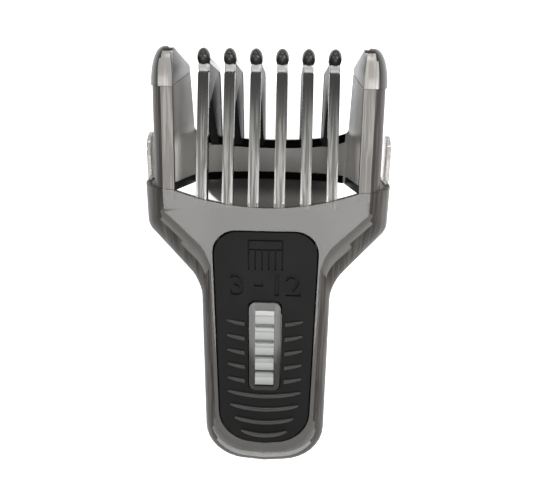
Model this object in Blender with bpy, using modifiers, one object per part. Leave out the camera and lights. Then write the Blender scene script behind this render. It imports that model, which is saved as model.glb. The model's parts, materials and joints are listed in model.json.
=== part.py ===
"""The adjustable guide comb of a hair clipper, modelled as an assembly.

Comb axes, used by every function below: +X to the comb's right, +Y along the shank towards the tooth
tips, +Z out of the thumb panel's face. The zero point is the middle of the front rim, between the teeth.
lay_on_back() turns the finished comb so that it lies on its heel and its rear bow, as it is put down.
"""

from math import asin, cos, pi, radians, sin, sqrt, tan

import bmesh
import bpy
from mathutils import Matrix, Vector

MM = 0.001
GAP = 0.3 * MM
WALL = 1.2 * MM

# Shank, funnel and head, as half widths and places along Y.
HEAD_HALF = 23.9 * MM
FACE_HEAD_HALF = 19.1 * MM
BASKET_HALF = 17.0 * MM
SHANK_HALF = 13.0 * MM
HEEL_HALF = 13.1 * MM
FACE_SHANK_HALF = 10.6 * MM
FACE_HEEL_HALF = 9.9 * MM
HEAD_TOP = 3.2 * MM
HEAD_SHOULDER = -5.6 * MM
WAIST = -16.6 * MM
HEEL_END = -60.3 * MM
FACE_END = -54.2 * MM
HEAD_FLARE_DEPTH = 8.0 * MM
SHANK_FLARE_DEPTH = 4.0 * MM
HEAD_DEPTH = 15.0 * MM
SHANK_DEPTH = 12.5 * MM
RIM_RISE = 3.0 * MM

# Mechanism deck behind the thumb panel.
PANEL_TOP = -4.7 * MM
PANEL_END = -52.7 * MM
PANEL_THICK = 1.4 * MM
PANEL_INSET = 0.6 * MM
DECK_FRONT = -4.2 * MM
DECK_BACK = -5.4 * MM
BUTTON_SIZE = (6.3 * MM, 20.1 * MM)
BUTTON_MIDDLE = -29.1 * MM
BUTTON_PROUD = 1.0 * MM
BUTTON_TRAVEL = 0.9 * MM
RIDGE_PITCH = 3.5 * MM
PIVOT = Vector((0, -20.0 * MM, -3.3 * MM))
PIN_RADIUS = 0.5 * MM
STEM_Y = -33.0 * MM
LEVER_TOP = -2.8 * MM
LEVER_THICK = 1.0 * MM

# Ribs of the thumb panel.
RIB_COUNT = 9
RIB_FIRST = -24.2 * MM
RIB_PITCH = 3.31 * MM
RIB_RISE = 1.1 * MM

# Basket: teeth, cheeks, guards and rear bow.
TOOTH_COUNT = 6
TOOTH_PITCH = 4.87 * MM
TOOTH_THICK = 2.0 * MM
TIP_Y = 27.9 * MM
TOOTH_LEAN = radians(19.0)
GUARD_LEAN = radians(7.2)
GUARD_TOP = 28.2 * MM
GUARD_HALF = 21.6 * MM
CAP_START = 21.4 * MM
CHEEK_THICK = 1.3 * MM
CAP_KNEE = Vector((23.4 * MM, -21.6 * MM))
CHEEK_BACK = 24.0 * MM
BOW_DEPTH = 30.0 * MM
BOW_LOW = -0.5 * MM
BOW_TOP = 8.6 * MM
BOW_SIDE_TOP = 12.0 * MM
BOW_ROUND = 5.7 * MM
REAR_APRON_HALF = 15.0 * MM
REAR_APRON_END = -7.6 * MM

COLOURS = {
    "smoked_polycarbonate": ((0.30, 0.29, 0.28, 1), 0.08, 0.0),
    "dark_tip_plastic": ((0.03, 0.032, 0.03, 1), 0.35, 0.0),
    "black_panel_plastic": ((0.012, 0.013, 0.012, 1), 0.45, 0.0),
    "clear_polycarbonate": ((0.75, 0.77, 0.76, 1), 0.06, 0.0),
    "natural_acetal": ((0.70, 0.69, 0.66, 1), 0.4, 0.0),
    "spring_steel": ((0.55, 0.55, 0.56, 1), 0.3, 1.0),
}


def clear_scene():
    """Empties the file and makes the collections for the comb and for its cutters."""
    for obj in list(bpy.data.objects):
        bpy.data.objects.remove(obj)
    for name in ("guide_comb", "cutters"):
        bpy.context.scene.collection.children.link(bpy.data.collections.new(name))


def material(name):
    """The shared material of that name, made the first time it is asked for."""
    found = bpy.data.materials.get(name)
    if found:
        return found
    colour, roughness, metallic = COLOURS[name]
    made = bpy.data.materials.new(name)
    made.use_nodes = True
    shader = made.node_tree.nodes["Principled BSDF"]
    shader.inputs["Base Color"].default_value = colour
    shader.inputs["Roughness"].default_value = roughness
    shader.inputs["Metallic"].default_value = metallic
    return made


def place(obj, finish):
    """Puts a finished piece in the comb's collection with its material."""
    bpy.data.collections["guide_comb"].objects.link(obj)
    obj.data.materials.append(material(finish))
    return obj


def helper(obj):
    """Keeps a cutter or an added shape out of the model itself."""
    bpy.data.collections["cutters"].objects.link(obj)
    obj.hide_render = True
    obj.display_type = "WIRE"
    return obj


def mesh_object(name, bm):
    """An object from a bmesh, with its faces turned outwards."""
    bmesh.ops.recalc_face_normals(bm, faces=bm.faces)
    mesh = bpy.data.meshes.new(name)
    bm.to_mesh(mesh)
    bm.free()
    return bpy.data.objects.new(name, mesh)


def box(name, low, high):
    """A block between two opposite corners."""
    bm = bmesh.new()
    bmesh.ops.create_cube(bm, size=1)
    low, high = Vector(low), Vector(high)
    size = Matrix.Diagonal((*(high - low), 1))
    bmesh.ops.transform(bm, matrix=Matrix.Translation((low + high) / 2) @ size, verts=bm.verts)
    return mesh_object(name, bm)


def cylinder_x(name, centre, radius, length, sides=16):
    """A rod along X."""
    bm = bmesh.new()
    bmesh.ops.create_cone(
        bm, cap_ends=True, segments=sides, radius1=radius, radius2=radius, depth=length
    )
    turn = Matrix.Rotation(pi / 2, 4, "Y")
    bmesh.ops.transform(bm, matrix=Matrix.Translation(centre) @ turn, verts=bm.verts)
    return mesh_object(name, bm)


def ellipsoid(name, centre, radii, lean=0.0, segments=16):
    """A ball stretched to three radii, leaning back about X."""
    bm = bmesh.new()
    bmesh.ops.create_uvsphere(bm, u_segments=segments, v_segments=segments // 2, radius=1)
    shape = Matrix.Rotation(-lean, 4, "X") @ Matrix.Diagonal((*radii, 1))
    bmesh.ops.transform(bm, matrix=Matrix.Translation(centre) @ shape, verts=bm.verts)
    return mesh_object(name, bm)


def add_boolean(obj, other, operation):
    """Cuts or joins another mesh, with Blender's exact solver."""
    modifier = obj.modifiers.new(f"{operation.lower()}_{other.name}", "BOOLEAN")
    modifier.operation = operation
    modifier.object = other
    return obj


def add_bevel(obj, width, segments=2, angle=35):
    """Rounds the edges sharper than an angle in degrees."""
    modifier = obj.modifiers.new("rounded_edges", "BEVEL")
    modifier.width = width
    modifier.segments = segments
    modifier.limit_method = "ANGLE"
    modifier.angle_limit = radians(angle)
    return obj


def arc_corner(before, corner, after, radius, steps=6):
    """Points of the round that replaces a corner between two straight lines."""
    to_before = (Vector(before) - Vector(corner)).normalized()
    to_after = (Vector(after) - Vector(corner)).normalized()
    half_angle = to_before.angle(to_after) / 2
    middle = Vector(corner) + (to_before + to_after).normalized() * (radius / sin(half_angle))
    start = Vector(corner) + to_before * (radius / tan(half_angle)) - middle
    end = Vector(corner) + to_after * (radius / tan(half_angle)) - middle
    turn = start.angle_signed(end)
    spin = [Matrix.Rotation(-turn * i / steps, 2) for i in range(steps + 1)]
    return [middle + m @ start for m in spin]


def rounded_path(corners, steps=6):
    """A path through (x, y, radius) corners: arcs at corners with a radius, points at the others."""
    points = []
    for i, (x, y, radius) in enumerate(corners):
        if radius:
            before, after = corners[i - 1][:2], corners[(i + 1) % len(corners)][:2]
            points += arc_corner(before, (x, y), after, radius, steps)
        else:
            points.append(Vector((x, y)))
    return points


def extruded(name, outline, low, high, axis="Z"):
    """A flat closed outline made solid between two levels along Z, or along X from an outline in Y and Z."""
    curve = bpy.data.curves.new(name, "CURVE")
    curve.dimensions = "2D"
    curve.fill_mode = "BOTH"
    curve.extrude = (high - low) / 2
    spline = curve.splines.new("POLY")
    spline.points.add(len(outline) - 1)
    for point, (x, y) in zip(spline.points, outline):
        point.co = (x, y, 0, 1)
    spline.use_cyclic_u = True
    flat = bpy.data.objects.new(name, curve)
    bpy.context.scene.collection.objects.link(flat)
    graph = bpy.context.evaluated_depsgraph_get()
    mesh = bpy.data.meshes.new_from_object(flat.evaluated_get(graph))
    bpy.data.objects.remove(flat)
    bm = bmesh.new()
    bm.from_mesh(mesh)
    bpy.data.meshes.remove(mesh)
    bmesh.ops.remove_doubles(bm, verts=bm.verts, dist=0.001 * MM)
    lift = Matrix.Translation((0, 0, (low + high) / 2))
    if axis == "X":  # outline X becomes Y, outline Y becomes Z
        lift = Matrix(((0, 0, 1, (low + high) / 2), (1, 0, 0, 0), (0, 1, 0, 0), (0, 0, 0, 1)))
    bmesh.ops.transform(bm, matrix=lift, verts=bm.verts)
    return mesh_object(name, bm)


def mirrored_outline(half):
    """A closed outline from its right half, listed from the centre line back to it."""
    left = [Vector((-p.x, p.y)) for p in reversed(half) if p.x > GAP / 10]
    return list(half) + left


def sheet_object(name, rows, closed=False):
    """An open surface through rows of points, one row after another."""
    bm = bmesh.new()
    grid = [[bm.verts.new(p) for p in row] for row in rows]
    for upper, lower in zip(grid, grid[1:]):
        for i in range(len(upper) - 1 + closed):
            j = (i + 1) % len(upper)
            bm.faces.new((upper[i], upper[j], lower[j], lower[i]))
    bmesh.ops.remove_doubles(bm, verts=bm.verts, dist=0.001 * MM)
    bmesh.ops.dissolve_degenerate(bm, dist=0.0001 * MM, edges=bm.edges)
    return mesh_object(name, bm)


def thicken(obj, thickness, inwards=1):
    """Gives an open surface its wall, on the inner side of its faces."""
    modifier = obj.modifiers.new("wall", "SOLIDIFY")
    modifier.thickness = thickness
    modifier.offset = -inwards
    modifier.use_even_offset = True
    return obj


def face_corners(inset=0.0):
    """Right half of the front face's edge, from the head down to the heel."""
    return [
        (FACE_HEAD_HALF - inset, HEAD_TOP, 0),
        (FACE_HEAD_HALF - inset, -0.9 * MM, 1.6 * MM),
        (FACE_SHANK_HALF - inset, -9.0 * MM, 6.0 * MM),
        (FACE_HEEL_HALF - inset, FACE_END + 1.0 * MM + inset, 8.0 * MM),
        (0, FACE_END + inset, 0),
    ]


def side_corners(inset=0.0):
    """Right half of the widest outline, which the flanks flare out to."""
    return [
        (HEAD_HALF - inset, HEAD_TOP, 0),
        (HEAD_HALF - inset, HEAD_SHOULDER, 3.0 * MM),
        (SHANK_HALF - inset, WAIST, 8.0 * MM),
        (HEEL_HALF - inset, HEEL_END + 1.2 * MM + inset, 9.0 * MM),
        (0, HEEL_END + inset, 0),
    ]


def blend(low, high, share):
    """A value between two others."""
    return low + (high - low) * share


def flank_row(face, side):
    """One rib of the shell's surface: up the side wall, over the flank, across the face to the middle."""
    share = min(max((side.y - WAIST) / (HEAD_SHOULDER - WAIST), 0), 1)
    flare = blend(SHANK_FLARE_DEPTH, HEAD_FLARE_DEPTH, share)
    back = blend(SHANK_DEPTH, HEAD_DEPTH, share)
    row = [Vector((side.x, side.y, -back))]
    for step in (1.0, 0.72, 0.45, 0.2, 0.0):
        out = sin(step * pi / 2)
        down = 0.4 * step + 0.6 * (1 - cos(step * pi / 2))
        row.append(Vector((blend(face.x, side.x, out), blend(face.y, side.y, out), -flare * down)))
    row.append(Vector((0, face.y, 0)))
    return row


def rim_height(x):
    """The front rim dips in the middle and rises towards the guards."""
    return RIM_RISE * (x / BASKET_HALF) ** 2


def rim_cutter():
    """Everything between the guards above the front rim."""
    steps = 10
    rim = [
        Vector((x, rim_height(x)))
        for x in (BASKET_HALF * (2 * i / steps - 1) for i in range(steps + 1))
    ]
    above = [Vector((BASKET_HALF, 12 * MM)), Vector((-BASKET_HALF, 12 * MM))]
    return helper(extruded("rim_cutter", rim + above, -3 * MM, 2 * MM))


def panel_outline(spread=0.0):
    """The thumb panel's outline, grown by a clearance."""
    end = PANEL_END - spread
    half = [
        Vector((0, PANEL_TOP + spread)),
        *arc_corner(
            (0, PANEL_TOP + spread),
            (FACE_SHANK_HALF - PANEL_INSET + spread, PANEL_TOP + spread),
            (FACE_HEEL_HALF - PANEL_INSET + spread, end + 1 * MM),
            4.6 * MM,
        ),
        *arc_corner(
            (FACE_SHANK_HALF - PANEL_INSET + spread, PANEL_TOP + spread),
            (FACE_HEEL_HALF - PANEL_INSET + spread, end + 1 * MM),
            (0, end),
            7.6 * MM,
        ),
        Vector((0, end)),
    ]
    return mirrored_outline(half)


def deck_shape():
    """The deck inside the shank, behind the thumb panel, as wide as the shell's inside."""
    half = [Vector((0, -1.6 * MM)), Vector((10.8 * MM, -1.6 * MM))]
    half += rounded_path(side_corners(inset=0.8 * MM), steps=4)[8:]
    return helper(extruded("deck", mirrored_outline(half), DECK_BACK, DECK_FRONT))


def pivot_boss(side):
    """One of the two ears that hold the latch pin."""
    low_x, high_x = sorted((side * 4.2 * MM, side * 5.8 * MM))
    return helper(
        box(
            f"pivot_boss_{'right' if side > 0 else 'left'}",
            (low_x, PIVOT.y - 1.3 * MM, DECK_FRONT - GAP),
            (high_x, PIVOT.y + 1.3 * MM, PIVOT.z + 1.0 * MM),
        )
    )


def panel_ledge(side):
    """The step inside a flank that the thumb panel sits on."""
    low_x, high_x = sorted((side * 8.6 * MM, side * 10.9 * MM))
    return helper(
        box(
            f"panel_ledge_{'right' if side > 0 else 'left'}",
            (low_x, -42 * MM, DECK_FRONT - GAP),
            (high_x, -9 * MM, -PANEL_THICK - GAP),
        )
    )


def side_lug(side):
    """The thin grip that stands up outside a guard, with a slot between them."""
    top, low, width = 12.2 * MM, 0.0, 7.6 * MM
    middle = -(HEAD_FLARE_DEPTH + HEAD_DEPTH) / 2
    outline = [Vector((low, middle - width / 2)), Vector((low, middle + width / 2))]
    steps = 8
    for i in range(steps + 1):
        angle = pi / 2 - pi * i / steps
        reach = top - width / 2 + cos(angle) * width / 2
        outline.append(Vector((reach, middle + sin(angle) * width / 2)))
    low_x, high_x = sorted((side * (HEAD_HALF - 1.2 * MM), side * (HEAD_HALF - 0.4 * MM)))
    name = f"side_lug_{'right' if side > 0 else 'left'}"
    return helper(extruded(name, outline, low_x, high_x, axis="X"))


def make_shank_shell():
    """The smoked shell: front apron, funnel, flanks, heel and the deck that carries the latch."""
    faces, sides = rounded_path(face_corners()), rounded_path(side_corners())
    shell = sheet_object("shank_shell", [flank_row(f, s) for f, s in zip(faces, sides)])
    mirror = shell.modifiers.new("other_half", "MIRROR")
    mirror.merge_threshold = 0.01 * MM
    mirror.use_clip = True
    thicken(shell, WALL)
    add_boolean(shell, deck_shape(), "UNION")
    for side in (1, -1):
        add_boolean(shell, pivot_boss(side), "UNION")
        add_boolean(shell, panel_ledge(side), "UNION")
        add_boolean(shell, side_lug(side), "UNION")
    add_boolean(shell, rim_cutter(), "DIFFERENCE")
    opening = extruded("panel_opening", panel_outline(GAP), -PANEL_THICK - GAP, 2 * MM)
    add_boolean(shell, helper(opening), "DIFFERENCE")
    slot = box("latch_slot", (-2.4 * MM, -35.5 * MM, DECK_BACK - MM), (2.4 * MM, -5.4 * MM, DECK_FRONT + MM))
    add_boolean(shell, helper(slot), "DIFFERENCE")
    pin_hole = cylinder_x("pin_hole", PIVOT, PIN_RADIUS + 0.05 * MM, 14 * MM)
    add_boolean(shell, helper(pin_hole), "DIFFERENCE")
    heel_gate = box(
        "heel_gate",
        (-9.2 * MM, HEEL_END - 5 * MM, -SHANK_DEPTH - 5 * MM),
        (9.2 * MM, HEEL_END + 12 * MM, DECK_BACK - GAP),
    )
    add_boolean(shell, helper(heel_gate), "DIFFERENCE")
    return place(shell, "smoked_polycarbonate")


def make_slide_rail(side):
    """A guide rail that runs in the clipper's groove, with two windows and a lip along its back edge."""
    outer, inner, lip = 10.7 * MM, 9.3 * MM, 8.4 * MM
    top, end = -3.3 * MM, -46.5 * MM
    front, back = DECK_BACK - GAP, -SHANK_DEPTH + 1.0 * MM
    name = f"slide_rail_{'right' if side > 0 else 'left'}"
    low_x, high_x = sorted((side * inner, side * outer))
    rail = box(name, (low_x, end, back), (high_x, top, front))
    low_x, high_x = sorted((side * lip, side * (inner + GAP)))
    hook = box(f"{name}_lip", (low_x, end + MM, back + GAP), (high_x, top - MM, back + 1.6 * MM))
    add_boolean(rail, helper(hook), "UNION")
    for number, middle in enumerate((-19.6 * MM, -30.5 * MM)):
        window = box(
            f"{name}_window_{number}",
            (-12 * MM, middle - 2.0 * MM, back + 2.2 * MM),
            (12 * MM, middle + 2.0 * MM, front - 0.8 * MM),
        )
        add_boolean(rail, helper(window), "DIFFERENCE")
    return place(rail, "smoked_polycarbonate")


def rib_shape(number):
    """One curved grip rib, lowest in the middle, as a thin bar sunk into the panel's face."""
    half = 7.6 * MM - (0, 0, 0, 0, 0, 0, 0.5, 1.2, 3.2)[number] * MM
    rise = RIB_RISE * (half / (7.6 * MM)) ** 2
    curve = bpy.data.curves.new(f"rib_{number}", "CURVE")
    curve.dimensions = "3D"
    curve.bevel_depth = 0.42 * MM
    curve.bevel_resolution = 2
    curve.use_fill_caps = True
    steps = 8
    spline = curve.splines.new("POLY")
    spline.points.add(steps)
    for i, point in enumerate(spline.points):
        share = 2 * i / steps - 1
        y = RIB_FIRST - RIB_PITCH * number + rise * share * share
        sink = -0.08 * MM - 0.3 * MM * share**6
        point.co = (half * share, y, sink, 1)
        point.radius = 1 - 0.35 * share**4
    line = bpy.data.objects.new(f"rib_{number}", curve)
    bpy.context.scene.collection.objects.link(line)
    graph = bpy.context.evaluated_depsgraph_get()
    mesh = bpy.data.meshes.new_from_object(line.evaluated_get(graph))
    bpy.data.objects.remove(line)
    bm = bmesh.new()
    bm.from_mesh(mesh)
    bpy.data.meshes.remove(mesh)
    bmesh.ops.remove_doubles(bm, verts=bm.verts, dist=0.001 * MM)
    return helper(mesh_object(f"rib_{number}", bm))


def make_thumb_panel():
    """The black panel under the thumb: ribs, button window and two locating tabs on its top edge."""
    panel = extruded("thumb_panel", panel_outline(), -PANEL_THICK, 0)
    add_bevel(panel, 0.35 * MM, segments=2, angle=50)
    for number in range(RIB_COUNT):
        add_boolean(panel, rib_shape(number), "UNION")
    for side in (1, -1):
        low_x, high_x = sorted((side * 1.2 * MM, side * 3.2 * MM))
        tab = box(
            f"panel_tab_{'right' if side > 0 else 'left'}",
            (low_x, PANEL_TOP - MM, -1.1 * MM),
            (high_x, PANEL_TOP + 0.2 * MM, -0.5 * MM),
        )
        add_boolean(panel, helper(tab), "UNION")
    add_boolean(panel, helper(button_block("button_window", 0.25 * MM, -4 * MM, 4 * MM)), "DIFFERENCE")
    return place(panel, "black_panel_plastic")


def button_block(name, spread, low, high):
    """The button's rounded outline as a block, grown by a clearance."""
    half_x, half_y = BUTTON_SIZE[0] / 2 + spread, BUTTON_SIZE[1] / 2 + spread
    radius = 1.4 * MM
    corners = [
        (half_x, BUTTON_MIDDLE - half_y, radius),
        (half_x, BUTTON_MIDDLE + half_y, radius),
        (-half_x, BUTTON_MIDDLE + half_y, radius),
        (-half_x, BUTTON_MIDDLE - half_y, radius),
    ]
    return extruded(name, rounded_path(corners, steps=4), low, high)


def ridge_outline():
    """Side view of the button's ridges: five steps that each climb, then fall steeply."""
    low, high = 0.1 * MM, BUTTON_PROUD
    first = BUTTON_MIDDLE + 2.5 * RIDGE_PITCH
    points = [Vector((first, -0.6 * MM)), Vector((first, low))]
    for i in range(5):
        y = first - i * RIDGE_PITCH
        points += [
            Vector((y - 0.25 * RIDGE_PITCH, 0.62 * high)),
            Vector((y - 0.45 * RIDGE_PITCH, high)),
            Vector((y - 0.80 * RIDGE_PITCH, high)),
            Vector((y - RIDGE_PITCH, low)),
        ]
    points.append(Vector((first - 5 * RIDGE_PITCH, -0.6 * MM)))
    return points


def button_wing(side):
    """A strip along one side of the button, under the panel's edge, which keeps the button captive."""
    low_x, high_x = sorted((side * 2.2 * MM, side * 3.9 * MM))
    return helper(
        box(
            f"button_wing_{'right' if side > 0 else 'left'}",
            (low_x, BUTTON_MIDDLE - 9.6 * MM, -2.3 * MM),
            (high_x, -22.5 * MM, -1.7 * MM),
        )
    )


def make_length_button():
    """The clear button: a framed block with ridges, side wings that keep it captive, and a stem."""
    button = button_block("length_button", 0, -1.3 * MM, 0.45 * MM)
    add_bevel(button, 0.25 * MM, segments=2, angle=50)
    well = box(
        "ridge_well",
        (-1.95 * MM, BUTTON_MIDDLE - 9.1 * MM, 0.0),
        (1.95 * MM, BUTTON_MIDDLE + 9.1 * MM, 2 * MM),
    )
    add_boolean(button, helper(well), "DIFFERENCE")
    ridges = extruded("button_ridges", ridge_outline(), -1.9 * MM, 1.9 * MM, axis="X")
    add_boolean(button, helper(ridges), "UNION")
    neck = box(
        "button_neck",
        (-2.9 * MM, BUTTON_MIDDLE - 9.2 * MM, -1.9 * MM),
        (2.9 * MM, -22.5 * MM, -1.0 * MM),
    )
    stem = box(
        "button_stem",
        (-1.2 * MM, STEM_Y - 1.2 * MM, LEVER_TOP + GAP),
        (1.2 * MM, STEM_Y + 1.2 * MM, -1.5 * MM),
    )
    wings = [button_wing(side) for side in (1, -1)]
    for shape in (helper(neck), helper(stem), *wings):
        add_boolean(button, shape, "UNION")
    return place(button, "clear_polycarbonate")


def hub_arc(upper):
    """Half of the rocker's round hub, seen from the side: over the top or under the bottom."""
    radius, half = 0.9 * MM, LEVER_THICK / 2
    first = asin(half / radius)
    steps = 6
    points = []
    for i in range(steps + 1):
        angle = blend(first, pi - first, i / steps)
        angle = angle if upper else angle + pi
        points.append(Vector((PIVOT.y + radius * cos(angle), PIVOT.z + radius * sin(angle))))
    return points


def make_latch_lever():
    """The rocker: the button presses its lower end, and its upper end lifts the detent tooth."""
    thick = LEVER_TOP - LEVER_THICK
    end, tip = STEM_Y - 1.6 * MM, -6.4 * MM
    outline = [Vector((tip, LEVER_TOP - 0.1 * MM)), *hub_arc(upper=True), Vector((end, LEVER_TOP - 0.1 * MM))]
    outline += [Vector((end, thick + 0.1 * MM)), *hub_arc(upper=False), Vector((-9.2 * MM, thick + 0.05 * MM))]
    outline += [
        Vector((-8.2 * MM, DECK_BACK - 0.85 * MM)),
        Vector((-6.9 * MM, DECK_BACK - 0.85 * MM)),
        Vector((tip, thick)),
    ]
    lever = extruded("latch_lever", outline, -1.8 * MM, 1.8 * MM, axis="X")
    bore = cylinder_x("lever_bore", PIVOT, PIN_RADIUS + 0.05 * MM, 8 * MM)
    add_boolean(lever, helper(bore), "DIFFERENCE")
    return place(lever, "natural_acetal")


def make_latch_pin():
    """The steel pin that the rocker turns on."""
    return place(cylinder_x("latch_pin", PIVOT, PIN_RADIUS, 11.2 * MM), "spring_steel")


def make_return_spring():
    """A bowed leaf between the panel's back and the rocker's upper end, which pushes the tooth home."""
    half_width, thick, sag = 1.5 * MM, 0.2 * MM, 0.75 * MM
    ends, low = (-14.5 * MM, -7.5 * MM), LEVER_TOP + GAP / 2
    steps = 10
    rows = []
    for i in range(steps + 1):
        share = i / steps
        y = blend(ends[0], ends[1], share)
        z = low + sag * 4 * share * (1 - share)
        rows.append([Vector((-half_width, y, z)), Vector((half_width, y, z))])
    spring = sheet_object("return_spring", rows)
    thicken(spring, thick, inwards=-1)
    return place(spring, "spring_steel")


def guard_front(y):
    """Depth of a guard's front face, which leans back from the rim."""
    return -max(y - 1.5 * MM, 0) * tan(GUARD_LEAN)


def guard_section(y, half, face, nose):
    """A guard's front face and flank at one height, from the basket side round to its free edge."""
    front = guard_front(y)
    row = [Vector((BASKET_HALF, y, front)), Vector((face, y, front))]
    for step in (0.25, 0.5, 0.75, 1.0):
        out = sin(step * pi / 2)
        down = 0.35 * step + 0.65 * (1 - cos(step * pi / 2))
        row.append(Vector((blend(face, half, out), y, front - nose * down)))
    row.append(Vector((half, y, front - nose - 3.5 * MM)))
    return row


def flipped(obj, side):
    """Moves a shape made for the right side over to the left when side is -1."""
    if side < 0:
        obj.data.transform(Matrix.Scale(-1, 4, (1, 0, 0)))
        obj.data.flip_normals()
    return obj


def make_guard(side):
    """The wide outer tooth's front face and flank, up to where its dark cap begins."""
    levels = [HEAD_TOP + GAP, 8 * MM, 15 * MM, CAP_START - GAP]
    rows = [guard_section(y, GUARD_HALF, FACE_HEAD_HALF, 5.5 * MM) for y in levels]
    guard = flipped(sheet_object(f"guard_{'right' if side > 0 else 'left'}", rows), side)
    thicken(guard, WALL)
    return place(guard, "smoked_polycarbonate")


def cheek_front(y):
    """The front edge of a cheek, just behind the guard's front wall."""
    return guard_front(y) - WALL - GAP


def make_guard_cap(side):
    """The dark rounded end of a guard: a dome over its front and flank, with a cheek plate behind."""
    rows = []
    for share in (0, 0.3, 0.55, 0.75, 0.9, 1.0):
        y = blend(CAP_START, GUARD_TOP, sin(share * pi / 2))
        narrow = 0.12 + 0.88 * cos(share * pi / 2) ** 0.8
        centre = Vector((BASKET_HALF + 1.4 * MM, y, guard_front(y) - 3.5 * MM))
        row = guard_section(y, GUARD_HALF + 0.6 * MM, FACE_HEAD_HALF + 0.2 * MM, 6 * MM)
        rows.append([centre + (p - centre) * narrow for p in row])
    name = f"guard_cap_{'right' if side > 0 else 'left'}"
    cap = flipped(sheet_object(name, rows), side)
    thicken(cap, WALL + 0.3 * MM)
    plate = [
        Vector((CAP_START + 0.1 * MM, cheek_front(CAP_START) + 0.6 * MM)),
        *arc_corner((CAP_START, -3 * MM), (GUARD_TOP, -5 * MM), (24.6 * MM, CAP_KNEE.y), 1.5 * MM),
        *arc_corner((GUARD_TOP, -7 * MM), (24.6 * MM, CAP_KNEE.y), CAP_KNEE, 0.6 * MM),
        CAP_KNEE,
    ]
    low_x, high_x = sorted((side * (BASKET_HALF + 0.05 * MM), side * (BASKET_HALF + CHEEK_THICK)))
    add_boolean(cap, helper(extruded(f"{name}_plate", plate, low_x, high_x, axis="X")), "UNION")
    return place(cap, "dark_tip_plastic")


def make_cheek(side):
    """The flat inner wall of the basket, from behind a guard back to the rear bow."""
    low = HEAD_TOP + GAP
    outline = [
        Vector((low, -WALL - GAP)),
        Vector((low, cheek_front(low))),
        Vector((CAP_START - GAP, cheek_front(CAP_START))),
        CAP_KNEE - Vector((1.5 * GAP, 0)),
        Vector((BOW_SIDE_TOP, -CHEEK_BACK)),
        Vector((BOW_LOW, -CHEEK_BACK)),
    ]
    low_x, high_x = sorted((side * BASKET_HALF, side * (BASKET_HALF + CHEEK_THICK)))
    name = f"cheek_{'right' if side > 0 else 'left'}"
    return place(extruded(name, outline, low_x, high_x, axis="X"), "smoked_polycarbonate")


def bow_depth(x):
    """Depth of the bow's outer face behind a place across the comb: a flat half oval."""
    share = min(abs(x) / (BASKET_HALF + CHEEK_THICK), 1)
    return BOW_DEPTH - BOW_ROUND * (1 - sqrt(1 - share * share))


def bow_top(depth):
    """The bow's top edge, which dips from the cheeks to the middle."""
    return blend(BOW_SIDE_TOP, BOW_TOP, (depth - CHEEK_BACK) / (BOW_DEPTH - CHEEK_BACK))


def make_rear_bow():
    """The rail round the back of the basket that the teeth run down to."""
    rows = []
    steps = 12
    for i in range(steps + 1):
        x = (BASKET_HALF + CHEEK_THICK) * cos(i / steps * pi / 2)
        depth = bow_depth(x)
        rows.append([Vector((x, BOW_LOW, -depth)), Vector((x, bow_top(depth), -depth))])
    bow = sheet_object("rear_bow", rows)
    mirror = bow.modifiers.new("other_half", "MIRROR")
    mirror.merge_threshold = 0.01 * MM
    mirror.use_clip = True
    thicken(bow, CHEEK_THICK)
    return place(bow, "smoked_polycarbonate")


def make_rear_apron():
    """The tongue below the rear bow that closes the funnel's back and lies along the surface."""
    top, taper = BOW_LOW - GAP, 3.2 * MM
    rows = []
    steps = 8
    for i in range(steps + 1):
        share = i / steps
        x = REAR_APRON_HALF * (1 - share)
        end = REAR_APRON_END + 5 * MM * (1 - share) ** 4
        row = []
        for part_way in (0, 0.5, 1):
            y = blend(top, end, part_way)
            sunk = taper * (top - y) / (top - REAR_APRON_END)
            row.append(Vector((x, y, -bow_depth(x) + 0.1 * MM + sunk)))
        rows.append(row)
    apron = sheet_object("rear_apron", rows)
    mirror = apron.modifiers.new("other_half", "MIRROR")
    mirror.merge_threshold = 0.01 * MM
    mirror.use_clip = True
    thicken(apron, WALL, inwards=-1)
    return place(apron, "smoked_polycarbonate")


def tooth_x(number):
    """Place of a tooth across the comb, counted from the left."""
    return (number - (TOOTH_COUNT - 1) / 2) * TOOTH_PITCH


def tooth_outline(x):
    """Side view of a tooth: front post, tip, skin edge, knee and rear leg, open underneath."""
    base = rim_height(x) + GAP
    depth = bow_depth(abs(x) + TOOTH_THICK / 2)
    foot = bow_top(depth) + 0.35 * MM
    outer_foot = -depth + 0.1 * MM
    tip_z = -(TIP_Y - 1.4 * MM) * tan(TOOTH_LEAN)
    outer = rounded_path(
        [
            (base, -0.15 * MM, 0),
            (TIP_Y - 1.4 * MM, tip_z, 1.2 * MM),
            (24.4 * MM, -27.6 * MM, 3.2 * MM),
            (foot, outer_foot, 0),
        ],
        steps=4,
    )
    inner = [
        Vector((foot, outer_foot + 6.5 * MM)),
        Vector((15.2 * MM, -15.5 * MM)),
        Vector((18.8 * MM, -11.2 * MM)),
        Vector((17.2 * MM, -8.4 * MM)),
        Vector((base, -4.0 * MM)),
    ]
    return outer + inner


def tip_shape(name, number, spread=0.0):
    """The rounded end of a tooth, as a ball stretched along it."""
    level = TIP_Y - 1.6 * MM
    centre = Vector((tooth_x(number), level, -level * tan(TOOTH_LEAN) - 0.6 * MM))
    radii = (1.22 * MM + spread, 1.6 * MM + spread, 1.9 * MM + spread)
    return ellipsoid(name, centre, radii, TOOTH_LEAN)


def make_tooth(number):
    """One thin tooth and its dark tip, numbered from the left."""
    x = tooth_x(number)
    name = f"tooth_{number + 1}"
    tooth = extruded(name, tooth_outline(x), x - TOOTH_THICK / 2, x + TOOTH_THICK / 2, axis="X")
    add_boolean(tooth, helper(tip_shape(f"{name}_tip_seat", number, GAP / 2)), "DIFFERENCE")
    place(tooth, "smoked_polycarbonate")
    return place(tip_shape(f"tooth_tip_{number + 1}", number), "dark_tip_plastic")


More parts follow.
